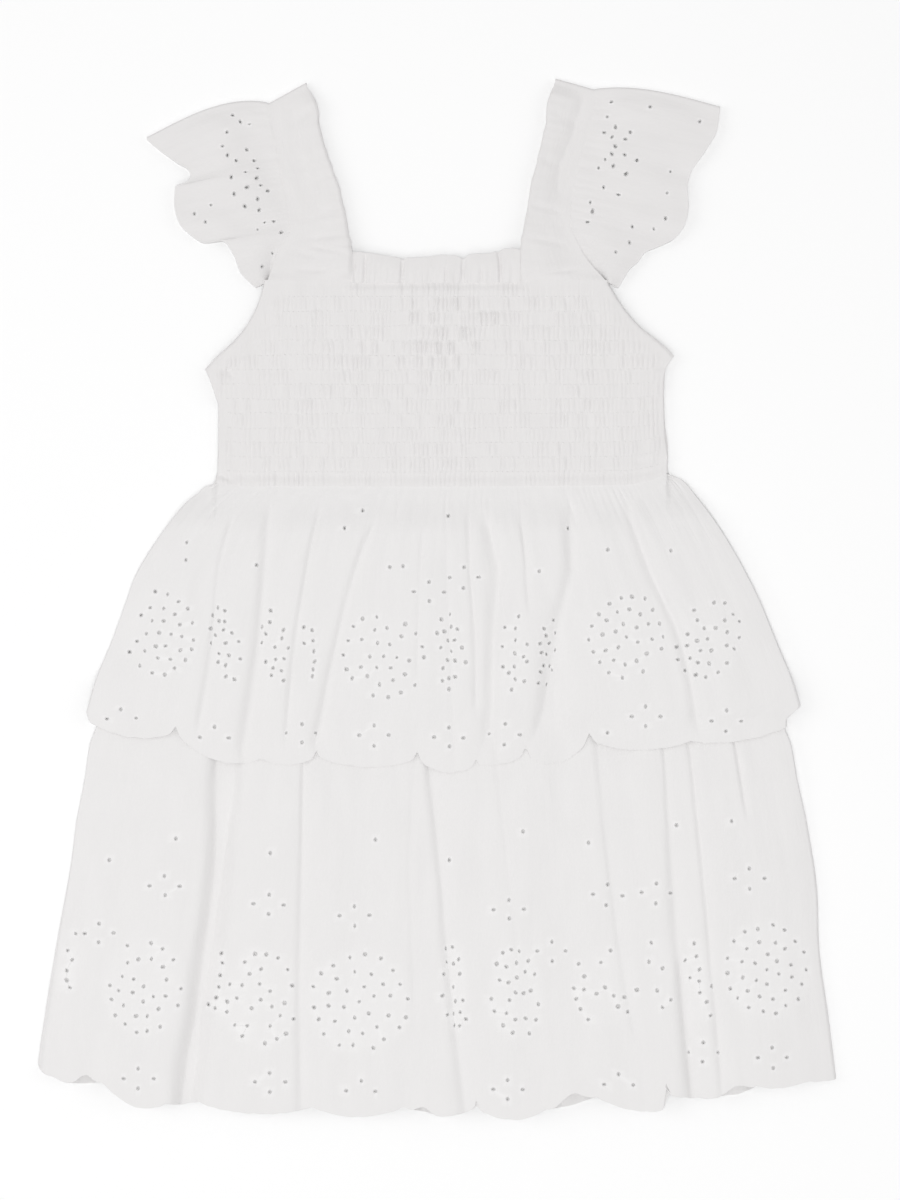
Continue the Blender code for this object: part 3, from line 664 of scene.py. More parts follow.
def ball(x, y, half_width, half_height, turn_degrees, worked, seed):
    """The eyelets of one round motif: rings of small ovals about a middle one. A gathered one is squeezed."""
    random = np.random.default_rng(seed)
    turn = math.radians(turn_degrees)
    squeeze = min(1.0, half_width / 16.0)
    holes = []
    for reach, count in RINGS:
        count = max(1, round(count * mix(0.45, 1.0, squeeze)))
        start = random.uniform(0.0, 1.0)
        for number in range(count):
            if random.uniform() > worked:
                continue
            angle = 2.0 * math.pi * (number + start + random.uniform(-0.16, 0.16)) / count
            out = reach * random.uniform(0.93, 1.05)
            off_x, off_y = on_oval(half_width * out, half_height * out, angle, turn)
            size = EYELET_HALF * random.uniform(0.5, 0.88)
            narrow = mix(0.7, 1.0, squeeze) * random.uniform(0.6, 0.95)
            lean = random.uniform(-1.3, 1.3) * mix(0.4, 1.0, squeeze)
            holes.append((x + off_x, y + off_y, size * narrow, size, lean))
    return holes


def diamond(x, y, seed):
    """Four eyelets set in a lozenge."""
    random = np.random.default_rng(seed)
    half = EYELET_HALF * 0.62
    return [(x + DIAMOND_REACH[0] * step_x + random.uniform(-0.4, 0.4),
             y + DIAMOND_REACH[1] * step_y + random.uniform(-0.4, 0.4),
             half * (1.15 if step_x else 0.8), half * (0.8 if step_x else 1.1), 0.0)
            for step_x, step_y in ((-1, 0), (1, 0), (0, 1), (0, -1))]


def satin(name):
    """Close satin stitch in white cotton thread: fine ridges across the run of the "cloth" attribute."""
    material, wire = new_material(name)
    place = wire.node("ShaderNodeAttribute", {"attribute_name": "cloth"}, out="Vector")
    ridges = (place.along("X") * (2.0 * math.pi / SATIN_PITCH) + 1.5 * place.noise((3.0, 3.0))).sine()
    tone = place.noise((1.2, 4.0))
    wire.surface(Base_Color=tone.blend(COTTON_WHITE, THREAD_WHITE), Normal=relief(ridges * 0.05, 0.8),
                 Roughness=0.52 + 0.2 * tone, Sheen_Weight=0.2, Sheen_Roughness=0.4, Specular_IOR_Level=0.4)
    return material


def read_form(bm):
    """The points and faces of a small form, which is then freed."""
    form = np.array([vert.co for vert in bm.verts]), np.array([[vert.index for vert in face.verts]
                                                               for face in bm.faces])
    bm.free()
    return form


def add_copies(name, faces, points, runs):
    """One piece of thread made of copies of a small form, from the points of each and their cloth places."""
    count, each, _ = points.shape
    repeats = np.arange(count)[:, None, None] * each
    mesh = bpy.data.meshes.new(name)
    mesh.from_pydata(points.reshape(-1, 3) * MM, [], (faces[None] + repeats).reshape(-1, faces.shape[1]))
    mesh.attributes.new("cloth", "FLOAT_VECTOR", "POINT").data.foreach_set("vector", runs.ravel())
    mesh.shade_smooth()
    return add_piece(name, mesh, satin_thread)


def eyelet_rims(name, rims):
    """The satin-stitched rims of a sheet's eyelets, joined into one piece: one small ring, bent from a round
    thread by a spin, is fitted to each oval."""
    ring_radius = 4.0
    bm = bmesh.new()
    for vert in bmesh.ops.create_circle(bm, segments=5, radius=1.0)["verts"]:
        vert.co = (ring_radius + vert.co.x, 0.0, vert.co.y)
    bmesh.ops.spin(bm, geom=bm.verts[:] + bm.edges[:], cent=(0.0, 0.0, 0.0), axis=(0.0, 0.0, 1.0),
                   angle=2.0 * math.pi, steps=RIM_SIDES, use_merge=True)
    bmesh.ops.remove_doubles(bm, verts=bm.verts, dist=0.001)
    bmesh.ops.recalc_face_normals(bm, faces=bm.faces)
    ring, faces = read_form(bm)
    angle = np.arctan2(ring[:, 1], ring[:, 0])
    out = (np.hypot(ring[:, 0], ring[:, 1]) - ring_radius) * RIM_THREAD * 1.25
    lift = ring[:, 2] * RIM_THREAD * 0.2
    places = []
    runs = []
    for centre_x, centre_y, level, slope_x, slope_y, half_width, half_height, turn in rims:
        place_x, place_y = on_oval(half_width + RIM_OUT + out, half_height + RIM_OUT + out, angle, turn)
        places.append(np.column_stack((centre_x + place_x, centre_y + place_y,
                                       level + slope_x * place_x + slope_y * place_y + lift - 0.02)))
        runs.append(np.column_stack((angle * 1.8 + centre_x, out + centre_y, out * 0.0)))
    return add_copies(name, faces, np.array(places), np.array(runs))


def edge_cord(name, path):
    """A satin-stitched cord along a cloth's edge. path gives its middle line, x, y and z, at shares along."""
    bm = bmesh.new()
    bmesh.ops.create_grid(bm, x_segments=CORD_STEPS, y_segments=CORD_SIDES, size=1.0)
    flat = np.array([vert.co[:2] for vert in bm.verts])
    share = (flat[:, 0] + 1.0) / 2.0
    turn = math.pi * flat[:, 1]
    line = np.column_stack(path(np.linspace(0.0, 1.0, CORD_STEPS + 1)))
    ahead, aside, upright = directions(np.gradient(line, axis=0))
    run = np.concatenate(([0.0], np.cumsum(np.linalg.norm(np.diff(line, axis=0), axis=1))))
    step = np.rint(share * CORD_STEPS).astype(int)
    size = CORD_RADIUS * ease(np.minimum(share, 1.0 - share) / 0.004 + 0.25)[:, None]
    lift = upright[step] * np.sin(turn)[:, None] * CORD_FLAT
    points = line[step] + size * (aside[step] * np.cos(turn)[:, None] + lift)
    cloth_layer = bm.verts.layers.float_vector.new("cloth")
    for vert, point, place in zip(bm.verts, points * MM, zip(run[step], turn * CORD_RADIUS)):
        vert.co = point
        vert[cloth_layer] = (*place, 0.0)
    bmesh.ops.remove_doubles(bm, verts=bm.verts, dist=0.02 * MM)
    bmesh.ops.holes_fill(bm, edges=[edge for edge in bm.edges if edge.is_boundary], sides=0)
    bmesh.ops.recalc_face_normals(bm, faces=bm.faces)
    return add_piece(name, smooth_mesh(name, bm), satin_thread)


def directions(runs):
    """Unit vectors ahead, aside and upright for each run of a line."""
    ahead = runs / np.linalg.norm(runs, axis=1)[:, None]
    aside = np.cross(ahead, (0.0, 0.0, 1.0))
    aside = aside / np.linalg.norm(aside, axis=1)[:, None]
    return ahead, aside, np.cross(aside, ahead)


def flutter_place(side, strap_table, edge_table, seed):
    """The place of a sleeve's points. across runs from its seam to its free edge."""
    def edge_at(share, column):
        return curve(edge_table, np.maximum(share, edge_table[0][0]), column, corners=False)

    def plan(across, share):
        x = mix(curve(strap_table, share, 3) + FLUTTER_TUCK[side], edge_at(share, 1), across)
        y = mix(curve(strap_table, share, 4), edge_at(share, 2), across) + SEAM
        crest = FLUTTER_CREST[side] * np.sin(math.pi * across ** 0.8) * ease((share - 0.7) / 0.3) ** 1.5
        return x, y + crest

    def top(across, share, x, y):
        base = (BODICE_BACK_WALL - WALL) * (1.0 - ease(share / 0.3)) * ease(share / 0.1)
        gathers = 0.3 * arches(share * 17.0 + 1.6 * wander(share * 9.0, across, seed))
        gathers = gathers * (1.0 - across) ** 2 * ease(across / 0.05)
        dip = -FLUTTER_SAG * ease(across / 0.06) * (1.0 - ease((across - 0.1) / 0.45))
        body = 1.6 * np.sin(math.pi * across) ** 1.5
        soft = 0.8 * wander(x / 13.0, y / 12.0, seed + 1) * ease(across / 0.2)
        raised = 0.35 * edge_at(share, 3) * across ** 1.4 + gathers + dip + body + soft
        tucked = -1.1 * (1.0 - ease(share / 0.28)) * (1.0 - across * 0.4)
        seam = -0.6 * (1.0 - ease(across / 0.045))
        return base + ease((1.0 - share) / 0.07) * (np.maximum(-1.2, raised + tucked) + seam)

    def place(across, along):
        x, y, z, share = over_shoulder(across, along, plan, top)
        return x, y, z, share * 180.0, across * 55.0
    return place


eyelet_cotton = cotton("eyelet_cotton", crinkle=0.10)
satin_thread = satin("satin_thread")
for side, strap_table, edge_table, seed in (("left", STRAP_LEFT, FLUTTER_LEFT, 51),
                                            ("right", STRAP_RIGHT, FLUTTER_RIGHT, 55)):
    place = flutter_place(side, strap_table, edge_table, seed)
    holes = [(x, y, EYELET_HALF * size * 0.6, EYELET_HALF * size * 0.9, math.radians(turn))
             for x, y, size, turn in FLUTTER_EYELETS[side]]
    sleeve, rims = sheet_of_cloth("eyelet_flutter_sleeve_" + side, "flutter_sleeve_" + side,
                                  66, 190, place, eyelet_cotton, CLOTH, side == "left", holes, FRONT_SHARE)
    stitched_rims = eyelet_rims("flutter_sleeve_eyelets_" + side, rims)

    def free_edge(share, place=place):
        x, y, z, _, _ = place(np.full_like(share, 0.992), mix(0.006, 0.994, share))
        return x, y, np.maximum(z - 0.15, CORD_RADIUS)
    edging = edge_cord("flutter_sleeve_edging_" + side, free_edge)


# ---- Lower tier ----
# Two gathered widths of eyelet cotton, front and back, joined at the sides and gathered into the waist seam
# under the upper tier. Near the hem they carry a row of embroidered balls, and the hem is a satin-stitched
# scallop. Laid flat, the front falls in long soft folds, and rolls up here and there at the hem.

# The side edges: y, x
LOWER_LEFT = (
    (56, -103), (48, -112), (28.5, -129), (9, -141), (-20.5, -152), (-45, -162), (-62.5, -166.5),
    (-72, -170), (-89, -172.5), (-109, -176.5), (-128.5, -179), (-167.5, -186), (-207, -192.5),
    (-228, -195.5))
LOWER_RIGHT = (
    (61, 107), (50.5, 117), (38, 128), (18.5, 140), (-20.5, 158), (-45, 167), (-62.5, 170), (-72, 173.5),
    (-89, 176.5), (-109, 181), (-148, 186.5), (-167.5, 187), (-207, 192), (-235, 195.5))
# Points between two scallops of the hem: x, y, and how far the next scallop drops below the line
LOWER_HEM = (
    (-195.5, -228, 2), (-188.5, -233, 4), (-163, -236, 7), (-133, -246.5, 1.5), (-116, -245.8, 5),
    (-61, -248, 5.5), (-16.5, -248, 5), (19, -248.6, 5.4), (53, -250, 2.5), (78, -243.8, 2.6),
    (110.6, -250.3, 0), (112.6, -243, 1), (147, -244, 0.8), (156.5, -238.5, 2), (181.5, -236, 0.5),
    (195.5, -235.5, 0))
SCALLOP_POWER = 0.7  # below 1, so that the scallops are full and the points between them sharp
# Narrow gaps in the hem where one fold laps over the next, and rolled places: x, half width, rise
HEM_SLITS = (
    (19.6, 0.8, 4.8), (112, 1.2, 7.5))
HEM_ROLLS = (
    (-172, 5, 5.5), (-6.5, 4.5, 3.5), (66.5, 7.5, 7), (146.5, 6.5, 6))
HEM_UNEVEN = 0.4
TIER_CLOTH = 0.35  # the tiers' cotton
TIER_GAP = 0.2  # room between two layers that lie close
TIER_LET_OUT = 380.0  # width of a tier's cloth, let out flat
# How far the front stands off the back down its middle: y, height
LOWER_PUFF = (
    (-22, 0), (-64, 1.6), (-90, 3), (-130, 5), (-200, 5.6), (-254, 4.6))
DROP_FROM, DROP_TO = -90.0, -106.0  # the tier comes down to the surface between these heights
PUFF_REACH = 15.0  # width beside a side edge over which a front rises
SIDE_EDGE = 0.95  # height of the tiers' folded side edges
TIER_ROUND = 0.5  # width over which the cloth comes down to them
FOLD_FADE = 14.0  # length over which a fold's end fades out
LOOK_BESIDE = 1.8  # a layer keeps clear of the one above it this far to either side
# Folds: x at the four fold heights, depth, half widths to the left and right, growth towards the hem,
# and the heights between which it shows
LOWER_FOLD_HEIGHTS = (-82.0, -130.0, -187.0, -250.0)
LOWER_FOLDS = (
    (-170.5, -175, -174.5, -170.5, 0.7, 3, 2.5, 1.3, -150, -262),
    (-150, -153, -154, -150, 0.5, 5, 4, 1.2, -95, -215),
    (-104, -107, -114.5, -123.5, 6.6, 4.6, 6.4, 1.15, -50, -275),
    (-65.2, -65.8, -67, -66, 1, 1.1, 2.2, 2.6, -55, -275),
    (-38, -35, -34, -31, 0.4, 7, 6, 1.2, -120, -200),
    (-11, -13.5, -11.5, -8, 0.3, 1.3, 2.2, 1, -60, -205),
    (-4, 1.5, 6.5, 14, 1.6, 1.6, 5.5, 2, -66, -275),
    (29.4, 34.8, 41.2, 46, 0.3, 1.5, 1.2, 1, -55, -182),
    (54, 58, 63, 67, 0.4, 6, 6, 1.2, -110, -265),
    (79, 84, 92, 104, 0.75, 1.7, 4.2, 1.2, -55, -220),
    (111.5, 114.5, 119, 125, 0.9, 1, 2.2, 4.2, -55, -275),
    (112, 115, 119.5, 126, 1.7, 1.6, 4, 1.4, -172, -275),
    (124.5, 129.5, 134.8, 140.5, 1.1, 1.1, 2.2, 2, -55, -265),
    (147.5, 155, 160, 163, 1.3, 1.1, 1.8, 1, -55, -112),
    (166.5, 170, 174, 178, 0.4, 5, 6, 1.1, -110, -230),
)
# Motifs: x, y, half width, half height, turn in degrees, share of the rings' eyelets worked
LOWER_BALLS = (
    (-181, -177, 8.5, 15, -6, 0.5), (-143, -189.6, 18.5, 23, -4, 0.85), (-106.5, -190, 5.5, 18, -6, 0.5),
    (-86, -196, 17.5, 23.5, 0, 0.8), (-38, -197, 24, 23.5, 0, 1), (8, -190, 6.5, 21, 8, 0.8),
    (38.4, -192.5, 12, 22.5, 6, 0.9), (82, -190, 16, 19, 12, 0.5), (109, -184, 5, 18, 8, 0.6),
    (128, -187, 6.5, 19, 10, 0.75), (161, -181.5, 20, 22.5, 6, 1))
# Lozenges and single eyelets: x, y
LOWER_DIAMONDS = (
    (-165, -163.5), (-145.5, -234.5), (-82, -149.5), (-81.5, -236.5), (-40, -155), (-37, -240.5),
    (35, -152), (34.5, -240), (56, -172.5), (83, -145), (89, -237.5), (107, -144), (152.5, -137),
    (164, -224.5), (-133, -140.5), (130, -222))
LOWER_DOTS = (
    (-81.3, -124.5), (-127.5, -117.5), (117, -111), (144, -109), (74, -119.5), (-30, -118), (42, -114),
    (-160, -128), (6, -128))


@dataclass
class Tier:
    """The lines of one tier in plan, from tables of its side edges, hem and folds."""

    left: tuple
    right: tuple
    hem: tuple
    hem_bumps: tuple
    hem_seed: int
    hem_pull: int          # how close to the hem the rows begin to follow it
    fold_heights: tuple
    folds: tuple

    def sides(self, y):
        return curve(self.left, y), curve(self.right, y)

    def lines(self, y):
        """x of the side edges and of each fold. Above its first height a fold closes up towards the waist."""
        given_y = np.minimum(y, self.fold_heights[0])
        left, right = self.sides(y)
        given_left, given_right = self.sides(given_y)
        paths = []
        for row in self.folds:
            given = curve(tuple(zip(self.fold_heights, row[:4])), given_y)
            paths.append(left + (right - left) * (given - given_left) / (given_right - given_left))
        return left, right, paths

    def fall(self, paths, x, y):
        """How far the folds lower the front at each point. One side of a fold is crisp."""
        total = 0.0
        top = self.fold_heights[0]
        down = np.clip((top - y) / (top - self.fold_heights[-1]), 0.0, 1.0)
        for (*_, depth, left_width, right_width, growth, start, end), path in zip(self.folds, paths):
            shows = ease((start - y) / FOLD_FADE) * ease((y - end) / FOLD_FADE)
            grown = mix(1.0, growth, down)
            uneven = 1.0 + 0.15 * wander(y / 23.0, depth * 7.3, 61)
            width = np.where(x < path, left_width, right_width) * grown * uneven
            deep = depth * np.sqrt(grown) * (1.0 + 0.12 * wander(y / 17.0, depth * 3.1, 62))
            total = total + shows * deep * np.exp(-np.abs((x - path) / width) ** 1.8)
        return total

    def scallops(self, x):
        """y of the scalloped hem at x."""
        rows = np.array(self.hem)
        stretch = np.clip(np.searchsorted(rows[:, 0], x, side="right") - 1, 0, len(rows) - 2)
        start = rows[stretch]
        end = rows[stretch + 1]
        share = np.clip((x - start[..., 0]) / (end[..., 0] - start[..., 0]), 0.0, 1.0)
        drop = start[..., 2] * np.sin(math.pi * share) ** SCALLOP_POWER
        return mix(start[..., 1], end[..., 1], share) - drop

    def plan(self, across, along, waist_tuck=-SEAM / 2.0, inset=None):
        """x, y and side edges of points whose last rows follow the hem. Columns follow the folds and lie
        closer beside them, or are even in a back, which stays an inset inside the front."""
        hem_level = np.mean([row[1] for row in self.hem])
        y = mix(WAIST_MIDDLE, hem_level, along)
        for _ in range(2 if inset else 3):
            left, right, paths = self.lines(y)
            if inset:
                left, right = left + inset, right - inset
                x = mix(left, right, across)
                bottom = self.scallops(x) + inset
            else:
                x = gathered_columns(across, left, right, paths)
                uneven = HEM_UNEVEN * wander(x / 3.2, 0.5, self.hem_seed)
                bottom = self.scallops(x) + bumps(x, self.hem_bumps) + uneven
            y = mix(curve(WAIST, x) + waist_tuck, hem_level, along)
            y = y + (bottom - hem_level) * along ** self.hem_pull
        return (x, y, left, right) if inset else (x, y, *self.sides(y))


def bumps(x, table):
    """Sum of bell-shaped bumps, each with a middle, a half width and a height."""
    return sum(height * bell(x - middle, half_width) for middle, half_width, height in table)


def gathered_columns(across, left, right, paths):
    """x of grid columns that follow the folds and lie closer beside them."""
    anchors = np.array([left, *paths, right])
    widths = np.diff(anchors, axis=0).mean(axis=1)
    knots = np.concatenate(([0.0], np.cumsum(widths / widths.sum())))
    stretch = np.clip(np.searchsorted(knots, across, side="right") - 1, 0, len(widths) - 1)
    share = (across - knots[stretch]) / (knots[stretch + 1] - knots[stretch])
    share = share - 0.55 * np.sin(2.0 * math.pi * share) / (2.0 * math.pi)
    points = np.arange(len(across))
    return mix(anchors[stretch, points], anchors[stretch + 1, points], share)


def grain_across(x, left, right):
    """Place across a tier's cloth, let out flat."""
    return (x - left) / (right - left) * TIER_LET_OUT


def sways(grain, y, seed):
    """The low unevenness of gathered cloth between its folds: long soft waves and a fine upright crinkle."""
    long_waves = 0.5 * wander(grain / 15.0, y / 75.0, seed) + 0.26 * wander(grain / 7.0, y / 48.0, seed + 1)
    return long_waves + 0.06 * wander(grain / 2.6, y / 26.0, seed + 2)


def standing_off(table, y, from_side):
    """How far a front stands off what lies beneath it: as in the table, and less beside its edges."""
    return curve(table, y) * (1.0 - np.exp(-from_side / PUFF_REACH))


def seam_height(x):
    """Height at which the upper tier's gathered edge comes out of the bodice's waist."""
    return bodice_front_place(bodice_share(x), np.zeros_like(x))[2] - 0.15


def lower_under(y):
    """Height of the underside of the lower tier's front over the surface, where it lies flat."""
    return LAYER * np.clip((y - DROP_TO) / (DROP_FROM - DROP_TO), 0.0, 1.0) + LAYER


def lower_height(x, y):
    """Height of the top of the lower tier's front."""
    left, right, paths = LOWER.lines(y)
    from_side = in_from_sides(x, left, right)
    standing = standing_off(LOWER_PUFF, y, from_side)
    uneven = sways(grain_across(x, left, right), y, 71)
    rise = standing - LOWER.fall(paths, x, y) + uneven * np.clip(standing / 2.0, 0.0, 1.0)
    rolled = 1.2 * bumps(x, HEM_ROLLS) / 6.0 * ease((-225.0 - y) / 25.0)
    top = lower_under(y) + np.maximum(TIER_CLOTH + 0.35, WALL + rise) + rolled
    return mix(SIDE_EDGE, top, rounded(from_side, TIER_ROUND))


LOWER = Tier(LOWER_LEFT, LOWER_RIGHT, LOWER_HEM, HEM_ROLLS + HEM_SLITS, 75, 6,
             LOWER_FOLD_HEIGHTS, LOWER_FOLDS)

# The upper tier's lines, which the lower tier's gathers stand up to meet: tables as for the lower one
UPPER_LEFT = (
    (56, -109), (54.5, -113.5), (50.5, -118), (48, -121.5), (28.5, -137), (9, -148.5), (-1, -152),
    (-20.5, -159), (-40, -167), (-56, -171.5), (-61, -170))
UPPER_RIGHT = (
    (61, 113), (57.5, 120.5), (50.5, 126.5), (38, 136), (18.5, 148), (-1, 158), (-20.5, 166), (-40, 174),
    (-53.5, 178), (-59, 171))
UPPER_HEM = (
    (-171, -59, 6), (-128, -65, 8), (-86, -78, 4), (-58.5, -77, 5), (-9.5, -78, 6), (19, -80.5, 3),
    (43.5, -76, 8), (74, -69, 5), (124, -69.5, 5), (178, -59, 0))
UPPER_NOTCHES = (
    (-127.5, 1.6, 3.5), (-59, 1.3, 2.5), (-9.5, 1.6, 3), (43.5, 1.8, 3.5), (74.5, 2, 3.5), (19, 1.2, 2))
UPPER_PUFF = (
    (61, 0.3), (50, 1.3), (30, 2.8), (0, 3.6), (-40, 3.1), (-70, 1.6), (-87, 0.3))
TUCK_FROM, TUCK_TO = -48.0, -30.0  # above this the front wraps down round the lower tier's edge
COVER_SLACK = 0.2  # more room between the two fronts from here down
UPPER_FOLD_HEIGHTS = (50.0, 13.5, -25.5, -70.0)
UPPER_FOLDS = (
    (-104, -127, -142, -149, 0.6, 5, 5, 1.2, 44, -70),
    (-97, -106, -110, -117.5, 1.2, 1.6, 4.2, 1.4, 46, -72),
    (-81, -84, -87.5, -94, 1.9, 2.6, 4.4, 1.25, 62, -100),
    (-56, -63.5, -69.5, -73.5, 1.1, 1.4, 2.4, 1.2, 56, -76),
    (-25, -39.5, -49.5, -58.5, 1.6, 1.7, 3.4, 1.5, 44, -80),
    (-19, -19.5, -21, -23, 0.5, 1.3, 2, 1, 58, 26),
    (-6.4, -7.8, -9.3, -10, 0.5, 1.2, 1.8, 1, 40, -45),
    (4.6, 5, 6.6, 8.5, 0.4, 1.6, 1.2, 1.2, 30, -95),
    (15.2, 16.4, 19, 19.2, 1.1, 1.5, 1.6, 1.1, 50, -60),
    (21.5, 30.5, 27.5, 26.5, 1.9, 3.6, 2.6, 1.3, 46, -98),
    (40.2, 43.6, 46, 46.5, 0.8, 1.3, 2, 1, 62, -12),
    (65, 66, 57.5, 52.5, 2.6, 3.2, 6, 1.9, 56, -96),
    (90.5, 104, 120.5, 129, 2, 2.6, 2.8, 1.2, 62, -70),
    (121, 137, 152, 160, 0.4, 3, 4, 1, 36, -22),
)
UPPER = Tier(UPPER_LEFT, UPPER_RIGHT, UPPER_HEM, UPPER_NOTCHES, 97, 5, UPPER_FOLD_HEIGHTS, UPPER_FOLDS)


def upper_height(x, y):
    """Height of the top of the upper tier's front."""
    left, right, paths = UPPER.lines(y)
    from_side = in_from_sides(x, left, right)
    lower_left, lower_right = LOWER.sides(y)
    inside_x = np.clip(x, lower_left, lower_right)
    lower_side = in_from_sides(inside_x, lower_left, lower_right)
    under = lower_under(y) + WALL + standing_off(LOWER_PUFF, y, lower_side)
    under = under + SEAM + COVER_SLACK * ease((20.0 - y) / 40.0)
    standing = standing_off(UPPER_PUFF, y, from_side) * (0.5 + 0.5 * ease((y - UPPER.scallops(x)) / 18.0))
    folds = UPPER.fall(paths, x, y)
    uneven = sways(grain_across(x, left, right), y, 91)
    rise = standing - folds * np.clip(standing, 0.35, 1.0) + uneven * np.clip(standing / 3.0, 0.25, 1.0)
    loose = mix(CLOTH - SEAM - COVER_SLACK, WALL, ease((y + 82.0) / 45.0))
    top = under + np.maximum(loose - 0.6, loose + rise)
    covered = np.maximum(lower_height(inside_x, y) + CLOTH + 0.12, top)
    edge = mix(SIDE_EDGE, LAYER + WALL + 1.2, ease((TUCK_TO - y) / (TUCK_TO - TUCK_FROM)))
    return mix(edge, covered, rounded(from_side, TIER_ROUND))


HIDDEN_ROWS = 0.18  # share of the rows under the upper tier, and of the length that they cover
HIDDEN_LENGTH = 0.36


def lower_front_place(across, along):
    below = 1.0 - (1.0 - along) * (1.0 - HIDDEN_LENGTH) / (1.0 - HIDDEN_ROWS)
    along = np.where(along < HIDDEN_ROWS, along * HIDDEN_LENGTH / HIDDEN_ROWS, below)
    x, y, left, right = LOWER.plan(across, along)
    below_seam = np.maximum(0.0, curve(WAIST, x) - y)
    own = lower_height(x, y)
    # Under the upper tier the front is raised to lie close beneath it.
    cover = np.minimum.reduce([upper_height(x + aside, y) for aside in (-LOOK_BESIDE, 0.0, LOOK_BESIDE)])
    covered = ease((y - UPPER.scallops(x) - 2.0) / 8.0) * ease((below_seam - 12.0) / 20.0)
    covered = covered * ease((in_from_sides(x, left, right) - 1.0) / 7.0)
    own = own + 0.98 * covered * np.maximum(0.0, cover - TIER_CLOTH - TIER_GAP - own)
    z = mix(seam_height(x) - 1.6, own, ease(below_seam / 14.0))
    return x, y, z, grain_across(x, left, right), y


def motifs(balls, diamonds, dots, seed):
    """The eyelets of a tier's balls, lozenges and single dots."""
    holes = []
    for number, motif in enumerate(balls):
        holes += ball(*motif, seed + number)
    for number, (x, y) in enumerate(diamonds):
        holes += diamond(x, y, seed + 40 + number)
    return holes + [(x, y, EYELET_HALF * 0.5, EYELET_HALF * 0.7, 0.0) for x, y in dots]


def tier_front(tier, columns, rows, place, holes, balls, thread, hem_share):
    """A tier's front with its eyelets, the embroidery thread over its balls, and its stitched hem."""
    def embroidered(x, y):
        total = np.zeros(len(x))
        for ball_x, ball_y, half_width, half_height, _, worked in balls:
            reach = np.hypot((x - ball_x) / half_width, (y - ball_y) / half_height)
            total = np.maximum(total, thread * worked * ease((1.25 - reach) / 0.4))
        return total

    def hem_cord(share):
        x, y, z, _, _ = place(mix(0.003, 0.997, share), np.full_like(share, hem_share))
        return x, y, z - 0.2

    front, rims = sheet_of_cloth("eyelet_" + tier + "_front", tier + "_front", columns, rows,
                                 place, tier_cotton_painted_lighter, TIER_CLOTH, True, holes, embroidery=embroidered)
    eyelets = eyelet_rims(tier + "_eyelets", rims)
    edging = edge_cord(tier + "_edging", hem_cord)


# The tiers' eyelet cotton is the sleeves' eyelet cotton painted lighter: a lit copy whose whiter colour
# stands in for the brighter light that falls on the tiers.
tier_cotton_painted_lighter = cotton("tier_cotton_painted_lighter", 0.10, white=(0.837, 0.825, 0.822, 1.0), shade=(0.812, 0.80, 0.797, 1.0))
lower_holes = motifs(LOWER_BALLS, LOWER_DIAMONDS, LOWER_DOTS, 200)
tier_front("lower_tier", 300, 150, lower_front_place, lower_holes, LOWER_BALLS, 0.35, 0.998)


def lower_back_place(across, along):
    """The back's own gathers stand up into the hollows of the front."""
    x, y, left, right = LOWER.plan(across, along, inset=BACK_INSET)
    from_side = in_from_sides(x, left, right)
    lying = lower_under(y) - LAYER + CLOTH
    above = np.minimum.reduce([lower_height(x + aside, y) for aside in (-LOOK_BESIDE, 0.0, LOOK_BESIDE)])
    room = np.maximum(0.0, above - TIER_CLOTH - TIER_GAP - lying)
    wave = 0.97 + 0.03 * arches(x / 13.0 + 0.9 * wander(x / 37.0, y / 90.0, 81)) ** 0.4
    fullness = 0.99 + 0.01 * wander(x / 19.0, y / 40.0, 82)
    shows = ease((from_side - 0.5) / 4.0) * ease((DROP_FROM - y) / 20.0)
    at_roll = np.clip(bumps(x, HEM_ROLLS) / 3.5, 0.0, 1.0)
    shows = shows * (1.0 - at_roll * (1.0 - ease((y - LOWER.scallops(x) - BACK_INSET - 9.0) / 8.0)))
    return x, y, lying + room * wave * fullness * shows, x * 1.6, y


lower_back, _ = sheet_of_cloth("eyelet_lower_tier_back", "lower_tier_back", 230, 68,
                               lower_back_place, tier_cotton_painted_lighter, flipped=True)


# ---- Upper tier ----
# Two shorter gathered widths of the same eyelet cotton over the lower tier, sewn into the same waist seam,
# with their own row of embroidered balls and scalloped hem. The gathers open into folds that fan out.

GATHER_RISE = 0.45  # height of the fine gathers below the seam
GATHER_PITCH = 4.6  # width of one gather
SECOND_RISE = 0.35  # height of the longer ones among them
WAIST_TUCK = 0.9  # how far the gathered edge goes in under the bodice
UPPER_BALLS = (
    (-135.5, -17, 18, 21, 22, 0.95), (-103, -22, 7, 19, 12, 0.9), (-79, -24, 6.5, 19, 8, 0.8),
    (-60, -26, 4.5, 17, 10, 0.6), (-26, -28.5, 20.5, 21, 4, 0.95), (7, -26, 8, 20, 0, 0.8),
    (38, -27, 6.5, 20, 0, 0.9), (53.5, -27.5, 4, 19, -8, 0.9), (92.5, -19, 18.5, 21, -6, 0.95),
    (132, -20, 15, 20, -24, 0.9))
UPPER_DIAMONDS = (
    (-31, -67), (-154, -59), (-108.5, -68), (102, -57.5), (141, -60), (83, -71), (6, -68), (33, -66.5),
    (-66, -66), (-4, 3), (13, 10))
UPPER_DOTS = (
    (-122, 27), (-122.5, 18.5), (-36.3, 42.6), (-23, 15), (-16.5, 15.5), (5.5, 40), (83.3, 23.5), (114, 23),
    (50, 13), (-88, 16), (-45, 34), (64, 34))


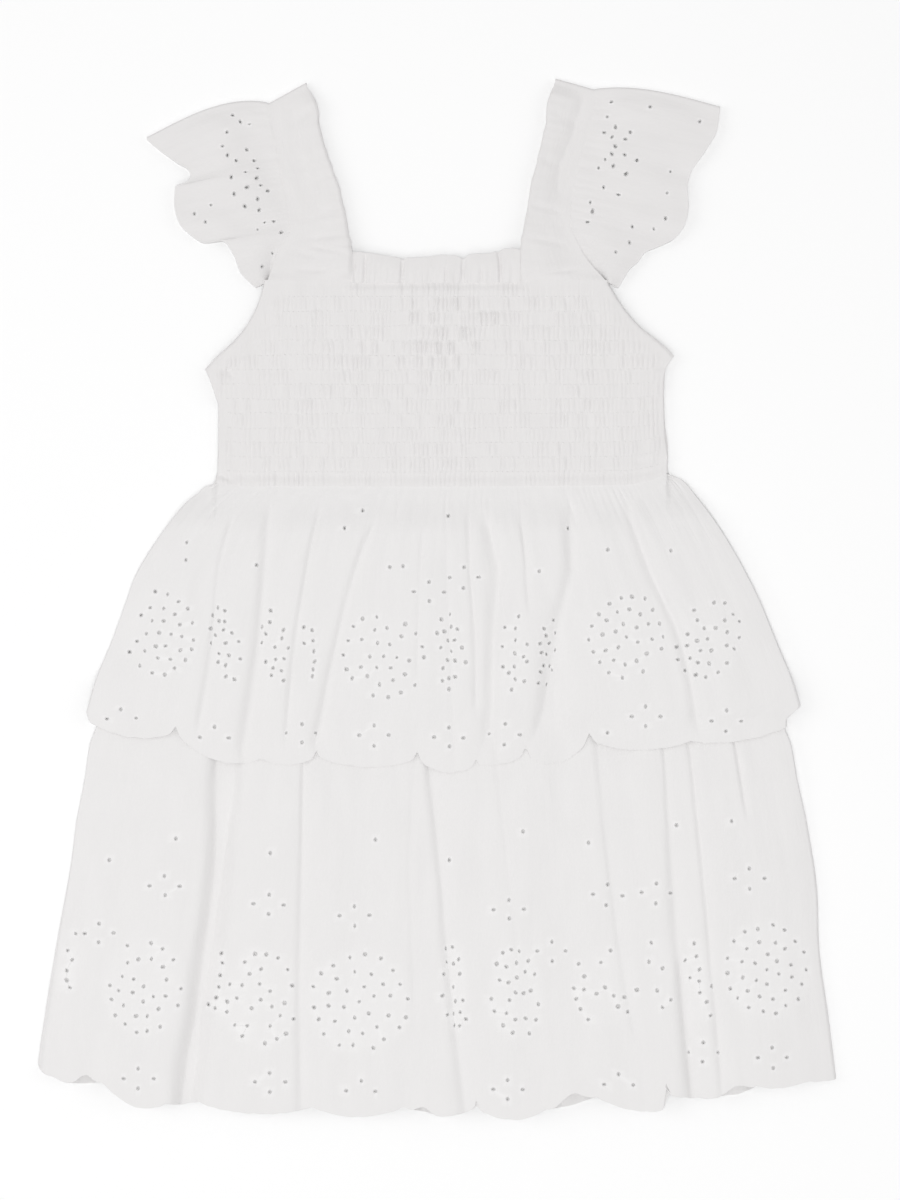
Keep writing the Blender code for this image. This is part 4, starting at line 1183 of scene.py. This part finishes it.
def upper_front_place(across, along):
    x, y, left, right = UPPER.plan(across, along, WAIST_TUCK)
    from_side = in_from_sides(x, left, right)
    grain = grain_across(x, left, right)
    below_seam = np.maximum(0.0, curve(WAIST, x) - y)
    reach = 13.0 + 9.0 * wander(grain / 9.0, 0.5, 93)
    pleat = arches(grain / GATHER_PITCH + 0.9 * wander(grain / 14.0, y / 60.0, 94)) ** 0.8
    second = arches(grain / (GATHER_PITCH * 1.9) + wander(grain / 20.0, y / 70.0, 95)) - 0.5
    gathers = GATHER_RISE * pleat * np.exp(-(below_seam / reach) ** 1.4)
    gathers = gathers + SECOND_RISE * second * bell(below_seam, 34.0) * ease(below_seam / 12.0)
    gathers = gathers * ease(from_side / 6.0) * ease((below_seam + 0.3) / 4.0)
    z = mix(seam_height(x), upper_height(x, y), ease((below_seam + 0.6) / 24.0)) + gathers
    return x, y, z, grain, y


# Eyelets stay off the left edge, where the front has no lower tier beneath it.
upper_holes = [hole for hole in motifs(UPPER_BALLS, UPPER_DIAMONDS, UPPER_DOTS, 300)
               if hole[0] > curve(LOWER_LEFT, hole[1]) + 3.0]
tier_front("upper_tier", 310, 120, upper_front_place, upper_holes, UPPER_BALLS, 0.12, 0.997)


def upper_back_place(across, along):
    x, y, _, _ = UPPER.plan(across, along, inset=BACK_INSET)
    return x, y, np.full_like(x, CLOTH), x * 1.6, y


upper_back, _ = sheet_of_cloth("eyelet_upper_tier_back", "upper_tier_back", 110, 40,
                               upper_back_place, tier_cotton_painted_lighter, flipped=True)


# ---- Sewing ----
# Straight stitches of white thread: the needle thread that shows over each row of elastic.

STITCH_RADIUS = 0.17
STITCH_LIFT = 0.08  # how far a stitch's middle lies over the cloth
STITCH_COVER = 0.6  # share of a row that thread covers
STITCHES = (84, 66)  # stitches in a row below the armholes and in one between them
ROWS_BELOW_ARMHOLES = 7


def stitches(name, places):
    """Stitches joined into one piece: one small rounded bead, stretched and laid at each place. A place is a
    middle point and a run from end to end."""
    bm = bmesh.new()
    bmesh.ops.create_icosphere(bm, subdivisions=1, radius=1.0)
    bead, faces = read_form(bm)
    middle, run = np.array(places).transpose(1, 0, 2)
    ahead, aside, upright = directions(run)
    points = (middle[:, None] + bead[None, :, 0, None] * (run / 2.0)[:, None]
              - bead[None, :, 1, None] * (aside * STITCH_RADIUS)[:, None]
              + bead[None, :, 2, None] * (upright * STITCH_RADIUS)[:, None])
    add_copies(name, faces, points, points)


elastic_places = []
for row in range(1, ELASTIC_ROWS):
    level = mix(WAIST_MIDDLE, BODICE_TOP, row / ELASTIC_ROWS)
    count = STITCHES[0] if row <= ROWS_BELOW_ARMHOLES else STITCHES[1]
    smooth_width = beside_armhole(level)[1]
    left, right = bodice_sides(level)
    ends = []
    for step in (-0.5, 0.5):
        share = (np.arange(count) + 0.5) / count + step * STITCH_COVER / count
        x = mix(left + smooth_width, right - smooth_width, share)
        place = bodice_front_place(bodice_share(x), np.full(count, row / ELASTIC_ROWS))
        ends.append(np.column_stack(place[:3]))
    middle = (ends[0] + ends[1]) / 2.0 + (0.0, 0.0, STITCH_LIFT)
    elastic_places += list(zip(middle, ends[1] - ends[0]))
stitches("elastic_stitching", elastic_places)


# ---- Table, light and camera ----
# A plain white sweep lies under the dress. Soft light comes from all round, from a lamp beside the camera,
# from one past the hem, and from one low on either side. The camera looks straight down.

FLOOR_SIZE = 6.0
FLOOR_WHITE = (0.985, 0.985, 0.985, 1.0)
FLOOR_GRAIN = 900.0
CAMERA_PLACE = (0.0064, -0.001, 2.0)
VIEW_HEIGHT = 0.588  # what the picture takes in, from top to bottom
SENSOR = 36.0
SKY_WHITE = (1.0, 1.0, 1.0, 1.0)
SKY_STRENGTH = 0.40
LAMPS = (  # name, place, power, size
    ("overhead_lamp", (-0.1, -0.1, 3.2), 46.5, 0.7), ("hem_lamp", (-0.2, -1.3, 2.0), 5.0, 1.2),
    ("left_lamp", (-2.0, 0.15, 1.2), 7.0, 1.2), ("right_lamp", (2.0, 0.1, 1.2), 3.0, 1.2),
)


bm = bmesh.new()
bmesh.ops.create_grid(bm, x_segments=1, y_segments=1, size=FLOOR_SIZE / 2.0)
floor_mesh = bpy.data.meshes.new("floor")
bm.to_mesh(floor_mesh)
bm.free()
floor = new_object("floor", floor_mesh)
floor_material, wire = new_material("white_sweep")
ground = wire.node("ShaderNodeTexCoord", out="Object")
grain = wire.node("ShaderNodeTexNoise", sockets={"Vector": ground, "Scale": FLOOR_GRAIN})
wire.surface(Base_Color=FLOOR_WHITE, Roughness=0.85 + 0.1 * grain, Specular_IOR_Level=0.2)
floor_mesh.materials.append(floor_material)

sky = bpy.data.worlds.new("soft_sky")
sky.use_nodes = True
sky.node_tree.nodes["Background"].inputs["Color"].default_value = SKY_WHITE
sky.node_tree.nodes["Background"].inputs["Strength"].default_value = SKY_STRENGTH
bpy.context.scene.world = sky

for name, location, power, size in LAMPS:
    lamp = bpy.data.lights.new(name, "AREA")
    lamp.energy = power
    lamp.size = size
    lamp_object = new_object(name, lamp, location)
    lamp_object.rotation_mode = "QUATERNION"
    lamp_object.rotation_quaternion = lamp_object.location.to_track_quat("Z", "Y")

camera = bpy.data.cameras.new("camera")
camera.sensor_width = SENSOR
camera.lens = SENSOR * CAMERA_PLACE[2] / VIEW_HEIGHT
bpy.context.scene.camera = new_object("camera", camera, CAMERA_PLACE)
bpy.context.scene.view_settings.view_transform = "Standard"
